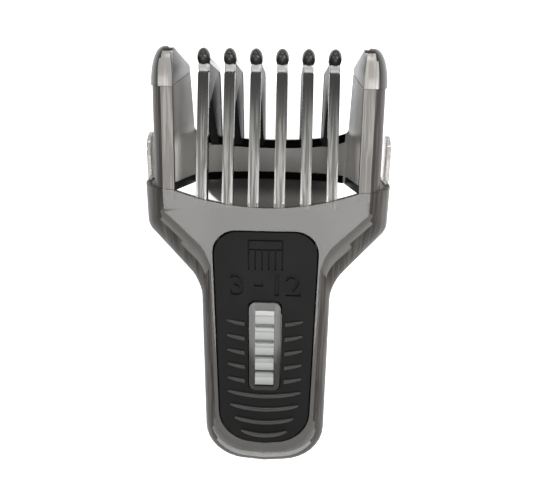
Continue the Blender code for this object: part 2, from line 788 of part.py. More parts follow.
def corners_of(objects):
    """Every corner of the evaluated objects, in world space."""
    graph = bpy.context.evaluated_depsgraph_get()
    found = []
    for obj in objects:
        seen = obj.evaluated_get(graph)
        mesh = seen.to_mesh()
        found += [seen.matrix_world @ v.co for v in mesh.vertices]
        seen.to_mesh_clear()
    return found


def lowest(corners, tilt):
    """Height of the lowest corner once the comb is turned about X by a tilt."""
    return min(p.y * sin(tilt) + p.z * cos(tilt) for p in corners)


def resting_tilt(corners):
    """The tilt at which the heel and the rear bow touch the surface together, found by halving."""
    head = [p for p in corners if p.y > WAIST]
    heel = [p for p in corners if p.y <= WAIST]
    low, high = radians(5), radians(30)
    for _ in range(30):
        middle = (low + high) / 2
        if lowest(head, middle) < lowest(heel, middle):
            low = middle
        else:
            high = middle
    return low


def lay_on_back():
    """Tilts the comb until its heel and its rear bow touch the surface, and centres it over the origin."""
    comb = list(bpy.data.collections["guide_comb"].objects)
    pose = bpy.data.objects.new("lying_pose", None)
    bpy.context.scene.collection.objects.link(pose)
    for obj in comb + list(bpy.data.collections["cutters"].objects):
        obj.parent = pose
    bpy.context.view_layer.update()
    pose.rotation_euler = (resting_tilt(corners_of(comb)), 0, 0)
    bpy.context.view_layer.update()
    corners = corners_of(comb)
    ys, zs = [p.y for p in corners], [p.z for p in corners]
    pose.location = (0, -(min(ys) + max(ys)) / 2, -min(zs))
    bpy.context.view_layer.update()


def shade(obj):
    """Smooth shading with crisp edges."""
    obj.data.shade_smooth()
    obj.data.set_sharp_from_angle(angle=radians(35))


def main():
    clear_scene()
    make_shank_shell()
    make_rear_bow()
    make_rear_apron()
    for side in (1, -1):
        make_slide_rail(side)
        make_guard(side)
        make_guard_cap(side)
        make_cheek(side)
    for number in range(TOOTH_COUNT):
        make_tooth(number)
    make_thumb_panel()
    make_length_button()
    make_latch_lever()
    make_latch_pin()
    make_return_spring()
    for obj in bpy.data.collections["guide_comb"].objects:
        shade(obj)
    lay_on_back()


main()
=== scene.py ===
"""Looks for the guide comb of a hair clipper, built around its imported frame.

Each class makes one sub-assembly in the comb's own axes: +X to its right, +Y along the shank towards the
tooth tips, +Z out of the thumb panel, from the middle of the front rim. CombAxes then lays it on its back.
"""

import json
import logging
from dataclasses import dataclass, field
from enum import Enum
from math import atan2, cos, pi, radians, sin, sqrt, tan
from typing import ClassVar

import bmesh
import bpy
from mathutils import Matrix, Vector

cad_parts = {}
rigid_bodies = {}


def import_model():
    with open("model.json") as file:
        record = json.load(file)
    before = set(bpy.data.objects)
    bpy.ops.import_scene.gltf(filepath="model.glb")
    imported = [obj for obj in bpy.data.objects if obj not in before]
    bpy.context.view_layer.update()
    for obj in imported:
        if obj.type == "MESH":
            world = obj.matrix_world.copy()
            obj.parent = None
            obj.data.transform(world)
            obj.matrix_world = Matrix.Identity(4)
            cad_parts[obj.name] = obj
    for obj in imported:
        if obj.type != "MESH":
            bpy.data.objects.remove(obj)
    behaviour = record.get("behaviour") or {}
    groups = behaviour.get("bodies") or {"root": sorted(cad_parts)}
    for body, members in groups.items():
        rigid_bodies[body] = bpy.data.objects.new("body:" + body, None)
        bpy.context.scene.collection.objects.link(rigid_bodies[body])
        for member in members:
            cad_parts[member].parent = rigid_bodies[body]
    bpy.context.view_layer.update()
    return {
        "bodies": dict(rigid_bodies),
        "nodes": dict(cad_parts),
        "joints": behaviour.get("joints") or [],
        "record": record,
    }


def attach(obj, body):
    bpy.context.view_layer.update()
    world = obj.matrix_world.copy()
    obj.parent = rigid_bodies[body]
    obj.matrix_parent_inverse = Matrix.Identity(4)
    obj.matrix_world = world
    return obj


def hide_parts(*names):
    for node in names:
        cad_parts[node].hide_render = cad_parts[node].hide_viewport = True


LOG = logging.getLogger("guide_comb")
MM = 0.001
Point = tuple[float, float]
Corner = tuple[float, float, float]
Point3 = tuple[float, float, float]


class Side(Enum):
    """The two sides of the comb, with the sign of X there."""

    RIGHT = 1
    LEFT = -1


class Solver(Enum):
    """What a boolean does with its second mesh."""

    JOIN = "UNION"
    CUT = "DIFFERENCE"


# ---------------------------------------------------------------- colours and node trees


def srgb(code: str) -> tuple[float, float, float, float]:
    """Turns an sRGB hex colour to linear.

    Args:
        code: Six hex digits, with or without a leading #.

    Returns:
        Linear red, green and blue, and an alpha of 1.
    """
    code = code.lstrip("#")
    parts = [int(code[i : i + 2], 16) / 255 for i in (0, 2, 4)]
    linear = [p / 12.92 if p <= 0.04045 else ((p + 0.055) / 1.055) ** 2.4 for p in parts]
    return (*linear, 1.0)


def add_node(tree: bpy.types.NodeTree, kind: str, settings: dict | None = None, **inputs) -> bpy.types.Node:
    """Adds a node, sets it up and links it.

    Args:
        tree: The shader or geometry tree.
        kind: The node's type, such as ShaderNodeBump.
        settings: Its properties, by name.
        **inputs: Its inputs, by socket name with _ for a space, or in_N for the Nth. A socket is linked
            and anything else is set as a value.

    Returns:
        The new node.
    """
    node = tree.nodes.new(kind)
    for name, value in (settings or {}).items():
        setattr(node, name, value)
    for name, value in inputs.items():
        key = int(name[3:]) if name.startswith("in_") else name.replace("_", " ")
        socket = node.inputs[key]
        if isinstance(value, bpy.types.NodeSocket):
            tree.links.new(value, socket)
        else:
            socket.default_value = value
    return node


@dataclass(frozen=True)
class Fade:
    """A second tone that a piece takes on along one of the comb's own axes: painted shade where it darkens,
    painted light where it pales.

    Args:
        axis: "X", "Y" or "Z", with X measured outwards from the middle to both sides.
        start_mm: Where the first tone ends.
        end_mm: Where the second tone is reached.
        colour: The second tone as sRGB hex.
        clearness: Transmission there, as a share of the first tone's.
    """

    axis: str
    start_mm: float
    end_mm: float
    colour: str
    clearness: float = 1.0


@dataclass(frozen=True)
class Finish:
    """A material: what it is made of, how its surface was made, and the light and shade painted on it.

    Args:
        name: The material's name.
        colour: Base colour as sRGB hex.
        roughness: Mean roughness.
        ior: Index of refraction.
        grain_mm: Size of the surface grain.
        grain_depth: Strength of the grain's bump.
        transmission: 1 for a clear plastic.
        smoke: Absorption per metre of a tinted plastic.
        smoke_colour: Colour that the tint lets through, as sRGB hex.
        metallic: 1 for a metal.
        coat: Strength of a gloss skin.
        specular: Level of the surface reflection, 0.5 being the plastic's own.
        fade: A second tone along one axis: painted shade where it darkens, painted light where it pales.
        streaks: Colour of painted highlight streaks along the comb, as sRGB hex, or nothing.
    """

    name: str
    colour: str
    roughness: float
    ior: float = 1.5
    grain_mm: float = 0.2
    grain_depth: float = 0.05
    transmission: float = 0.0
    smoke: float = 0.0
    smoke_colour: str = "#5a5854"
    metallic: float = 0.0
    coat: float = 0.0
    specular: float = 0.5
    fade: Fade | None = None
    streaks: str = ""

    def material(self, axes: "CombAxes") -> bpy.types.Material:
        """Builds the material once.

        Args:
            axes: Where the comb lies, so that the pattern follows it.

        Returns:
            The material.
        """
        found = bpy.data.materials.get(self.name)
        if found:
            return found
        made = bpy.data.materials.new(self.name)
        made.use_nodes = True
        tree = made.node_tree
        tree.nodes.clear()
        back = axes.matrix.inverted()
        place = add_node(
            tree,
            "ShaderNodeMapping",
            Vector=add_node(tree, "ShaderNodeTexCoord").outputs["Object"],
            Location=back.to_translation(),
            Rotation=back.to_euler(),
        ).outputs["Vector"]
        self._dress(tree, place)
        return made

    def _dress(self, tree: bpy.types.NodeTree, place: bpy.types.NodeSocket) -> None:
        """Wires the shader: tone, gloss, grain, painted highlight streaks and painted shading from the piece's
        own coordinates.

        Args:
            tree: The material's tree.
            place: The comb's own coordinates.
        """
        cloud = add_node(
            tree, "ShaderNodeTexNoise", Vector=place, Scale=1 / (6 * MM), Detail=3.0, Roughness=0.55
        ).outputs[0]
        grain = add_node(
            tree,
            "ShaderNodeTexNoise",
            Vector=place,
            Scale=1 / (self.grain_mm * MM),
            Detail=2.0,
            Roughness=0.6,
        ).outputs[0]
        gloss = add_node(
            tree,
            "ShaderNodeMapRange",
            Value=cloud,
            To_Min=self.roughness * 0.8,
            To_Max=self.roughness * 1.25,
        ).outputs["Result"]
        dark = [c * 0.8 for c in srgb(self.colour)[:3]]
        tone = add_node(
            tree,
            "ShaderNodeMix",
            {"data_type": "RGBA"},
            in_0=cloud,
            in_6=(*dark, 1.0),
            in_7=srgb(self.colour),
        ).outputs[2]
        # Painted highlights: paler streaks stretched along the comb.
        if self.streaks:
            stretched = add_node(
                tree, "ShaderNodeMapping", Vector=place, Scale=(1 / (0.42 * MM), 1 / (11 * MM), 1 / (6 * MM))
            ).outputs["Vector"]
            lines = add_node(tree, "ShaderNodeTexNoise", Vector=stretched, Scale=1.0, Detail=2.0).outputs[0]
            share = add_node(
                tree,
                "ShaderNodeMapRange",
                {"interpolation_type": "SMOOTHSTEP"},
                Value=lines,
                From_Min=0.45,
                From_Max=0.62,
            ).outputs["Result"]
            tone = add_node(
                tree, "ShaderNodeMix", {"data_type": "RGBA"}, in_0=share, in_6=tone, in_7=srgb(self.streaks)
            ).outputs[2]
        clearness = self.transmission
        # Painted shading: a darker or paler second tone along one axis, standing for shade or light.
        if self.fade:
            along = add_node(tree, "ShaderNodeSeparateXYZ", Vector=place).outputs[self.fade.axis]
            if self.fade.axis == "X":
                along = add_node(tree, "ShaderNodeMath", {"operation": "ABSOLUTE"}, in_0=along).outputs[0]
            share = add_node(
                tree,
                "ShaderNodeMapRange",
                {"interpolation_type": "SMOOTHSTEP"},
                Value=along,
                From_Min=self.fade.start_mm * MM,
                From_Max=self.fade.end_mm * MM,
            ).outputs["Result"]
            tone = add_node(
                tree, "ShaderNodeMix", {"data_type": "RGBA"}, in_0=share, in_6=tone, in_7=srgb(self.fade.colour)
            ).outputs[2]
            clearness = add_node(
                tree,
                "ShaderNodeMapRange",
                Value=share,
                To_Min=self.transmission,
                To_Max=self.transmission * self.fade.clearness,
            ).outputs["Result"]
        bump = add_node(
            tree, "ShaderNodeBump", Height=grain, Strength=self.grain_depth, Distance=0.05 * MM
        ).outputs["Normal"]
        shader = add_node(
            tree,
            "ShaderNodeBsdfPrincipled",
            Base_Color=tone,
            Roughness=gloss,
            Metallic=self.metallic,
            Transmission_Weight=clearness,
            Coat_Weight=self.coat,
            Normal=bump,
        )
        if not self.metallic:
            shader.inputs["IOR"].default_value = self.ior
            shader.inputs["Specular IOR Level"].default_value = self.specular
        output = add_node(tree, "ShaderNodeOutputMaterial", Surface=shader.outputs["BSDF"])
        if self.smoke:
            tint = add_node(
                tree, "ShaderNodeVolumeAbsorption", Color=srgb(self.smoke_colour), Density=self.smoke
            )
            tree.links.new(tint.outputs["Volume"], output.inputs["Volume"])


# Smoke-tinted polycarbonate, polished in the mould: clear, glossy, and darker the more of it is in the way;
# painted shade darkens it where its faces fall away towards the flanks.
SMOKED = Finish(
    "smoked_polycarbonate_polished",
    "#c2bfba",
    0.07,
    1.585,
    3.0,
    0.003,
    0.82,
    520.0,
    "#4e4c49",
    specular=0.22,
    fade=Fade("Z", -0.1, -1.6, "#2b2a28", 0.05),
)
# Its upright flanks, as painted shade where the eye looks down the length of the wall and hardly any light
# comes up, darker still towards the heel, with painted highlight streaks.
SMOKED_FLANK = Finish(
    "smoked_polycarbonate_upright_flank",
    "#393633",
    0.35,
    1.585,
    3.0,
    0.004,
    0.06,
    specular=0.06,
    fade=Fade("Y", -50.0, -57.5, "#1d1c1b"),
    streaks="#4a4743",
)
# The thin grips beside the guards, which hardly tint the light.
SMOKED_THIN = Finish(
    "smoked_polycarbonate_thin_grip", "#d2d0cc", 0.1, 1.585, 3.0, 0.002, 0.7, 60.0, "#a8a5a0"
)
# The same plastic, opaque and nearly black: partly real, as it is several times thicker in the blades, and
# partly painted shade; the dark edge beads use it too.
SMOKED_SHADED = Finish(
    "smoked_polycarbonate_thick_blade", "#141413", 0.3, 1.585, 0.9, 0.03, 0.0, specular=0.02
)
# The thin front edge of a tooth, painted pale as painted light where the light runs along the plastic, with
# painted shade darkening it towards the tip and painted highlight streaks.
SMOKED_EDGE = Finish(
    "smoked_polycarbonate_lit_edge",
    "#858480",
    0.12,
    1.585,
    2.0,
    0.01,
    0.35,
    300.0,
    "#6a6865",
    fade=Fade("Y", 6.0, 23.0, "#3b3a38", 0.8),
    streaks="#b4b3af",
)
# The basket's upright walls, a browner and fuller copy of the plastic as painted shade where they are seen at a
# slant, turning pale as painted light towards the rim.
SMOKED_WALL = Finish(
    "smoked_polycarbonate_upright_wall",
    "#76736e",
    0.3,
    1.585,
    3.0,
    0.01,
    0.12,
    400.0,
    "#5a5753",
    specular=0.05,
    fade=Fade("Y", 13.5, 10.5, "#cfccc6"),
)
# The guards' fronts, with a soft pale painted sheen, painted shade darkening them towards the flank, and
# painted highlight streaks.
SMOKED_FRONT = Finish(
    "smoked_polycarbonate_soft_front",
    "#8f8c88",
    0.17,
    1.585,
    3.0,
    0.01,
    0.3,
    300.0,
    "#6a6763",
    fade=Fade("X", 19.9, 21.3, "#3d3b39", 0.2),
    streaks="#a5a29e",
)
# The bow's face, painted pale as painted light where it looks up at the light.
SMOKED_BOW = Finish(
    "smoked_polycarbonate_bow_face", "#e9e6e1", 0.2, 1.585, 3.0, 0.01, 0.08, 200.0, "#8a8783"
)
# The back of the funnel below the bow, painted shade: darkest just under the bow and paler towards the apron's
# end.
SMOKED_DEEP = Finish(
    "smoked_polycarbonate_double_wall",
    "#5f5c59",
    0.2,
    1.585,
    3.0,
    0.01,
    0.3,
    200.0,
    "#3c3a38",
    fade=Fade("Y", -2.2, -5.5, "#a6a39f"),
)
# A painted highlight of pale plastic between a tooth's front edge and its tip, where the light collects; the
# glints along the edges use it too.
COLLAR_HIGHLIGHT = Finish(
    "polycarbonate_bare_collar", "#e4e4e2", 0.1, 1.585, 0.6, 0.03, 0.5, 20.0, "#d0d0ce"
)
# Painted shade over the tips and the guard caps' upright faces: near black and satin, for the dark look of the
# rounded smoked plastic there.
TIP_SHADE = Finish("dark_tip_plastic_satin", "#252623", 0.32, 1.5, 0.35, 0.06, specular=0.4)
# A guard cap's front: a pale painted sheen carried up from the guard's front, painted shade darkening it
# towards the outer rim, and painted highlight streaks.
CAP_FACE = Finish(
    "smoked_polycarbonate_under_tip_plastic",
    "#8f8c88",
    0.2,
    1.5,
    3.0,
    0.01,
    specular=0.4,
    fade=Fade("X", 20.6, 21.9, "#252623"),
    streaks="#9c9995",
)
# ABS moulded in a spark-eroded tool: black and dull, with a grain of a quarter of a millimetre.
PANEL_BLACK = Finish("black_abs_spark_eroded", "#0b0c0a", 0.5, 1.53, 0.28, 0.3, specular=0.16)
# The ribs of the same panel, glossier and painted lighter, so that their crests catch the light as painted
# highlights.
PANEL_RIB = Finish("black_abs_rubbed_rib", "#262723", 0.36, 1.53, 0.28, 0.12, specular=0.45)
# Untinted polycarbonate of the button, polished.
CLEAR = Finish("clear_polycarbonate_polished", "#60625e", 0.1, 1.585, 2.0, 0.02, 0.72, 90.0, "#b9bab6")
# The ridges of the same button, painted pale as painted highlights.
CLEAR_RIDGE = Finish("clear_polycarbonate_rubbed", "#a2a4a0", 0.2, 1.585, 0.5, 0.08, 0.2, 60.0, "#b9bab6")
# Natural acetal of the rocker, as it leaves the mould.
ACETAL = Finish("natural_acetal_moulded", "#dcdad2", 0.38, 1.48, 0.3, 0.08)
# Ground steel of the pin and the rolled steel of the leaf spring.
STEEL = Finish("spring_steel_ground", "#b9babd", 0.28, metallic=1.0, grain_mm=0.15, grain_depth=0.1)


# ---------------------------------------------------------------- mesh tools


def mesh_object(name: str, bm: bmesh.types.BMesh) -> bpy.types.Object:
    """Makes an object of a bmesh, with its faces turned outwards.

    Args:
        name: The object's name.
        bm: The mesh, which is freed.

    Returns:
        The object, linked to the scene.
    """
    bmesh.ops.recalc_face_normals(bm, faces=bm.faces)
    mesh = bpy.data.meshes.new(name)
    bm.to_mesh(mesh)
    bm.free()
    obj = bpy.data.objects.new(name, mesh)
    bpy.context.scene.collection.objects.link(obj)
    return obj


def baked(obj: bpy.types.Object) -> bpy.types.Object:
    """Turns an object's modifiers into plain mesh and removes them.

    Args:
        obj: The object, at the origin.

    Returns:
        The same object.
    """
    bpy.context.view_layer.update()
    graph = bpy.context.evaluated_depsgraph_get()
    mesh = bpy.data.meshes.new_from_object(obj.evaluated_get(graph), depsgraph=graph)
    obj.modifiers.clear()
    obj.data = mesh
    return obj


def block(name: str, low: Vector | tuple, high: Vector | tuple) -> bpy.types.Object:
    """Makes a block between two opposite corners.

    Args:
        name: The object's name.
        low: One corner.
        high: The opposite corner.

    Returns:
        The block.
    """
    bm = bmesh.new()
    bmesh.ops.create_cube(bm, size=1)
    low, high = Vector(low), Vector(high)
    size = Matrix.Diagonal((*(high - low), 1))
    bmesh.ops.transform(bm, matrix=Matrix.Translation((low + high) / 2) @ size, verts=bm.verts)
    return mesh_object(name, bm)


def combine(obj: bpy.types.Object, other: bpy.types.Object, how: Solver) -> bpy.types.Object:
    """Joins or cuts with another mesh, which is used up.

    Args:
        obj: The mesh that stays.
        other: The mesh that is joined to it or cut out of it.
        how: Join or cut.

    Returns:
        obj.
    """
    modifier = obj.modifiers.new("combine", "BOOLEAN")
    modifier.operation = how.value
    modifier.solver = "EXACT"
    modifier.object = other
    baked(obj)
    bpy.data.objects.remove(other)
    return obj


def bevelled(obj: bpy.types.Object, width: float, segments: int = 3, angle: float = 35) -> bpy.types.Object:
    """Rounds a mesh's sharp edges.

    Args:
        obj: The mesh.
        width: Width of the round, in metres.
        segments: Steps across it.
        angle: Edges sharper than this many degrees are rounded.

    Returns:
        obj.
    """
    modifier = obj.modifiers.new("rounded_edges", "BEVEL")
    modifier.width = width
    modifier.segments = segments
    modifier.limit_method = "ANGLE"
    modifier.angle_limit = radians(angle)
    modifier.harden_normals = False
    return baked(obj)


def thickened(obj: bpy.types.Object, thickness: float, inwards: bool = True) -> bpy.types.Object:
    """Gives an open surface its wall.

    Args:
        obj: The open surface.
        thickness: The wall, in metres.
        inwards: Whether the wall grows against the faces' direction.

    Returns:
        obj.
    """
    modifier = obj.modifiers.new("wall", "SOLIDIFY")
    modifier.thickness = thickness
    modifier.offset = -1 if inwards else 1
    modifier.use_even_offset = True
    return baked(obj)


def mirrored(obj: bpy.types.Object) -> bpy.types.Object:
    """Adds the left half to a right half that is open at X = 0."""
    modifier = obj.modifiers.new("other_half", "MIRROR")
    modifier.merge_threshold = 0.01 * MM
    modifier.use_clip = True
    return baked(obj)


def sheet(name: str, rows: list[list[Vector]]) -> bpy.types.Object:
    """Makes an open surface through rows of points.

    Args:
        name: The object's name.
        rows: The points, one list after another.

    Returns:
        The surface.
    """
    bm = bmesh.new()
    grid = [[bm.verts.new(p) for p in row] for row in rows]
    for upper, lower in zip(grid, grid[1:]):
        for i in range(len(upper) - 1):
            bm.faces.new((upper[i], upper[i + 1], lower[i + 1], lower[i]))
    bmesh.ops.remove_doubles(bm, verts=bm.verts, dist=0.001 * MM)
    bmesh.ops.dissolve_degenerate(bm, dist=0.0001 * MM, edges=bm.edges)
    return mesh_object(name, bm)


def arc_corner(before: Point, corner: Point, after: Point, radius: float, steps: int = 8) -> list[Vector]:
    """Finds the round that replaces a corner between two straight lines.

    Args:
        before: A point on the line that arrives.
        corner: The corner.
        after: A point on the line that leaves.
        radius: Radius of the round.
        steps: Steps along it.

    Returns:
        Its points.
    """
    to_before = (Vector(before[:2]) - Vector(corner[:2])).normalized()
    to_after = (Vector(after[:2]) - Vector(corner[:2])).normalized()
    half = to_before.angle(to_after) / 2
    middle = Vector(corner[:2]) + (to_before + to_after).normalized() * (radius / sin(half))
    start = Vector(corner[:2]) + to_before * (radius / tan(half)) - middle
    end = Vector(corner[:2]) + to_after * (radius / tan(half)) - middle
    turn = start.angle_signed(end)
    return [middle + Matrix.Rotation(-turn * i / steps, 2) @ start for i in range(steps + 1)]


def rounded_path(corners: list[Corner], steps: int = 8) -> list[Vector]:
    """Draws a path through corners, some of them rounded.

    Args:
        corners: Across, along and radius of each.
        steps: Steps along each round.

    Returns:
        The path's points.
    """
    points: list[Vector] = []
    for i, (x, y, radius) in enumerate(corners):
        if radius:
            points += arc_corner(corners[i - 1], (x, y), corners[(i + 1) % len(corners)], radius, steps)
        else:
            points.append(Vector((x, y)))
    return points


def extruded(
    name: str, outline: list[Vector], low: float, high: float, across: bool = False
) -> bpy.types.Object:
    """Makes a flat closed outline solid.

    Args:
        name: The object's name.
        outline: Its points, in X and Y, or in Y and Z with across.
        low: Where the solid starts, along Z, or along X with across.
        high: Where it ends.
        across: Whether it runs along X.

    Returns:
        The solid.
    """
    curve = bpy.data.curves.new(name, "CURVE")
    curve.dimensions = "2D"
    curve.fill_mode = "BOTH"
    curve.extrude = (high - low) / 2
    spline = curve.splines.new("POLY")
    spline.points.add(len(outline) - 1)
    for point, (x, y) in zip(spline.points, outline):
        point.co = (x, y, 0, 1)
    spline.use_cyclic_u = True
    flat = bpy.data.objects.new(name, curve)
    bpy.context.scene.collection.objects.link(flat)
    solid = meshed(flat)
    lift = Matrix.Translation((0, 0, (low + high) / 2))
    if across:
        lift = Matrix(((0, 0, 1, (low + high) / 2), (1, 0, 0, 0), (0, 1, 0, 0), (0, 0, 0, 1)))
    solid.data.transform(lift)
    return solid


def meshed(flat: bpy.types.Object) -> bpy.types.Object:
    """Turns a curve or text object into a merged mesh object of the same name.

    Args:
        flat: The curve or text, which is used up.

    Returns:
        The mesh object.
    """
    bpy.context.view_layer.update()
    graph = bpy.context.evaluated_depsgraph_get()
    mesh = bpy.data.meshes.new_from_object(flat.evaluated_get(graph), depsgraph=graph)
    name = flat.name
    bpy.data.objects.remove(flat)
    bm = bmesh.new()
    bm.from_mesh(mesh)
    bpy.data.meshes.remove(mesh)
    bmesh.ops.remove_doubles(bm, verts=bm.verts, dist=0.001 * MM)
    return mesh_object(name, bm)


def flipped(obj: bpy.types.Object, side: Side) -> bpy.types.Object:
    """Moves a shape made for the right over to the left where side says so.

    Args:
        obj: The shape.
        side: The side that it is for.

    Returns:
        obj.
    """
    if side is Side.LEFT:
        obj.data.transform(Matrix.Scale(-1, 4, (1, 0, 0)))
        obj.data.flip_normals()
    return obj


def limits(side: Side, inner: float, outer: float) -> tuple[float, float]:
    """Lower and upper X between two distances from the middle, on one side."""
    low, high = sorted((side.value * inner, side.value * outer))
    return low, high


def mix(low: float, high: float, share: float) -> float:
    """A value between two others."""
    return low + (high - low) * share


# ---------------------------------------------------------------- the comb's axes and its sizes


@dataclass(frozen=True)
class CombAxes:
    """Where the comb lies: its own axes, tilted about X so that it rests on its back."""

    tilt: float
    origin: Vector

    @classmethod
    def from_frame(cls, frame: dict, pivot: Vector) -> "CombAxes":
        """Reads the pose from the frame's joints.

        Args:
            pivot: The rocker's pivot in the comb's own axes.

        Returns:
            The axes.
        """
        joints = {joint["name"]: joint for joint in frame["joints"]}
        inwards = joints["button_press"]["axis"]
        tilt = atan2(inwards[1], -inwards[2])
        turned = Matrix.Rotation(tilt, 3, "X") @ pivot
        return cls(tilt, Vector(joints["latch_rock"]["pos_m"]) - turned)

    @property
    def matrix(self) -> Matrix:
        """The matrix from the comb's axes to the frame's."""
        return Matrix.Translation(self.origin) @ Matrix.Rotation(self.tilt, 4, "X")


@dataclass(frozen=True)
class CombSizes:
    """The sizes that several sub-assemblies share."""

    wall: float = 1.2 * MM
    basket_half: float = 17.0 * MM
    cheek: float = 1.3 * MM
    face_head_half: float = 19.1 * MM
    guard_lean: float = radians(7.2)
    guard_half: float = 21.6 * MM
    guard_top: float = 28.2 * MM
    cap_start: float = 21.4 * MM
    cap_knee: Point = (23.4 * MM, -21.6 * MM)
    bow_depth: float = 30.0 * MM
    bow_round: float = 5.7 * MM
    bow_low: float = -0.5 * MM
    bow_top: float = 8.6 * MM
    bow_side_top: float = 12.0 * MM
    cheek_back: float = 24.0 * MM
    cheek_foot: float = 2.9 * MM
    seam: float = 0.05 * MM
    pivot: Vector = field(default_factory=lambda: Vector((0, -20.0 * MM, -3.3 * MM)))

    def guard_front(self, y: float) -> float:
        """Height of a guard's front face, which leans back from the rim."""
        return -max(y - 1.5 * MM, 0) * tan(self.guard_lean)

    def bow_depth_at(self, x: float) -> float:
        """Depth of the bow's outer face: a flat half oval."""
        share = min(abs(x) / (self.basket_half + self.cheek), 1)
        return self.bow_depth - self.bow_round * (1 - sqrt(1 - share * share))

    def bow_top_at(self, depth: float) -> float:
        """Top edge of the bow, which dips from the cheeks to the middle."""
        return mix(
            self.bow_side_top, self.bow_top, (depth - self.cheek_back) / (self.bow_depth - self.cheek_back)
        )

    def rim_height(self, x: float) -> float:
        """Height of the front rim, which rises towards the guards."""
        return 3.0 * MM * (x / self.basket_half) ** 2

    def guard_section(self, y: float, half: float, face: float, nose: float, steps: int = 8) -> list[Vector]:
        """Draws a guard's front face and flank at one height.

        Args:
            y: The height along the comb.
            half: Half width out to the flank.
            face: Half width out to the end of the flat front.
            nose: Depth of the round between them.
            steps: Steps along the round.

        Returns:
            Points from the basket side round to the flank's free edge.
        """
        front = self.guard_front(y)
        straight, skirt = 0.35, 3.5 * MM
        row = [Vector((self.basket_half, y, front)), Vector((face, y, front))]
        for i in range(1, steps + 1):
            step = i / steps
            out = sin(step * pi / 2)
            down = straight * step + (1 - straight) * (1 - cos(step * pi / 2))
            row.append(Vector((mix(face, half, out), y, front - nose * down)))
        row.append(Vector((half, y, front - nose - skirt)))
        return row


# ---------------------------------------------------------------- geometry node trees


FLOAT, COUNT = "NodeSocketFloat", "NodeSocketInt"
MATERIAL, SHAPE = "NodeSocketMaterial", "NodeSocketObject"


class GrownTree:
    """A geometry node tree with named inputs, and the means to grow a plain mesh from it."""

    def __init__(self, name: str, inputs: dict[str, str]) -> None:
        """Starts the tree.

        Args:
            name: The tree's name.
            inputs: Socket type of each named input.
        """
        self.tree = bpy.data.node_groups.new(name, "GeometryNodeTree")
        self.tree.interface.new_socket("Geometry", in_out="OUTPUT", socket_type="NodeSocketGeometry")
        for label, kind in inputs.items():
            self.tree.interface.new_socket(label, in_out="INPUT", socket_type=kind)
        self.inputs = self.tree.nodes.new("NodeGroupInput").outputs

    def add(self, kind: str, settings: dict | None = None, **inputs) -> bpy.types.Node:
        """Adds a node to the tree; see add_node."""
        return add_node(self.tree, kind, settings, **inputs)

    def math(self, operation: str, first, second=0.0) -> bpy.types.NodeSocket:
        """Adds a sum, product or other operation on two values and gives its result."""
        return self.add("ShaderNodeMath", {"operation": operation}, in_0=first, in_1=second).outputs[0]

    def downwards(self) -> bpy.types.Node:
        """Adds the points that stand First along Y and then Pitch below each other."""
        step = self.math("MULTIPLY", self.inputs["Pitch"], -1.0)
        return self.add(
            "GeometryNodeMeshLine",
            {"mode": "OFFSET"},
            Count=self.inputs["Count"],
            Start_Location=self.add("ShaderNodeCombineXYZ", Y=self.inputs["First"]).outputs[0],
            Offset=self.add("ShaderNodeCombineXYZ", Y=step).outputs[0],
        )

    def repeat(self, points: bpy.types.Node, shape: bpy.types.NodeSocket, **scale) -> None:
        """Ends the tree with a shape on every point, scaled where Scale is given."""
        placed = self.add(
            "GeometryNodeInstanceOnPoints", Points=points.outputs["Mesh"], Instance=shape, **scale
        )
        self.finish(placed.outputs["Instances"])

    def finish(self, geometry: bpy.types.NodeSocket) -> None:
        """Ends the tree: real geometry, with the Finish input as its material.

        Args:
            geometry: The instances or mesh to end with.
        """
        real = self.add("GeometryNodeRealizeInstances", Geometry=geometry).outputs["Geometry"]
        dressed = self.add(
            "GeometryNodeSetMaterial", Geometry=real, Material=self.inputs["Finish"]
        ).outputs["Geometry"]
        self.add("NodeGroupOutput", Geometry=dressed)

    def grow(self, name: str, **values) -> bpy.types.Object:
        """Runs the tree and keeps its result as a plain mesh.

        Args:
            name: The new object's name.
            **values: A value for each input, with _ for a space in its name.

        Returns:
            The mesh object, with no modifier left on it.
        """
        obj = bpy.data.objects.new(name, bpy.data.meshes.new(name))
        bpy.context.scene.collection.objects.link(obj)
        modifier = obj.modifiers.new("grown", "NODES")
        modifier.node_group = self.tree
        for item in self.tree.interface.items_tree:
            key = item.name.replace(" ", "_").lower()
            if item.in_out == "INPUT" and key in values:
                modifier[item.identifier] = values[key]
        return baked(obj)


def row_tree() -> GrownTree:
    """Builds the tree that repeats a shape across the comb, flatter towards the sides as the bow is.

    Returns:
        The tree, with Shape, Count, Pitch, Flattening and Finish.
    """
    tree = GrownTree(
        "row_across_the_comb",
        {
            "Shape": SHAPE,
            "Count": COUNT,
            "Pitch": FLOAT,
            "Flattening": FLOAT,
            "Finish": MATERIAL,
        },
    )
    gaps = tree.math("SUBTRACT", tree.inputs["Count"], 1.0)
    start = tree.math("MULTIPLY", tree.math("MULTIPLY", gaps, tree.inputs["Pitch"]), -0.5)
    line = tree.add(
        "GeometryNodeMeshLine",
        {"mode": "OFFSET"},
        Count=tree.inputs["Count"],
        Start_Location=tree.add("ShaderNodeCombineXYZ", X=start).outputs[0],
        Offset=tree.add("ShaderNodeCombineXYZ", X=tree.inputs["Pitch"]).outputs[0],
    )
    across = tree.add(
        "ShaderNodeSeparateXYZ", Vector=tree.add("GeometryNodeInputPosition").outputs[0]
    ).outputs["X"]
    loss = tree.math("MULTIPLY", tree.math("MULTIPLY", across, across), tree.inputs["Flattening"])
    scale = tree.add("ShaderNodeCombineXYZ", X=1.0, Y=1.0, Z=tree.math("SUBTRACT", 1.0, loss))
    shape = tree.add("GeometryNodeObjectInfo", Object=tree.inputs["Shape"])
    tree.repeat(line, shape.outputs["Geometry"], Scale=scale.outputs[0])
    return tree


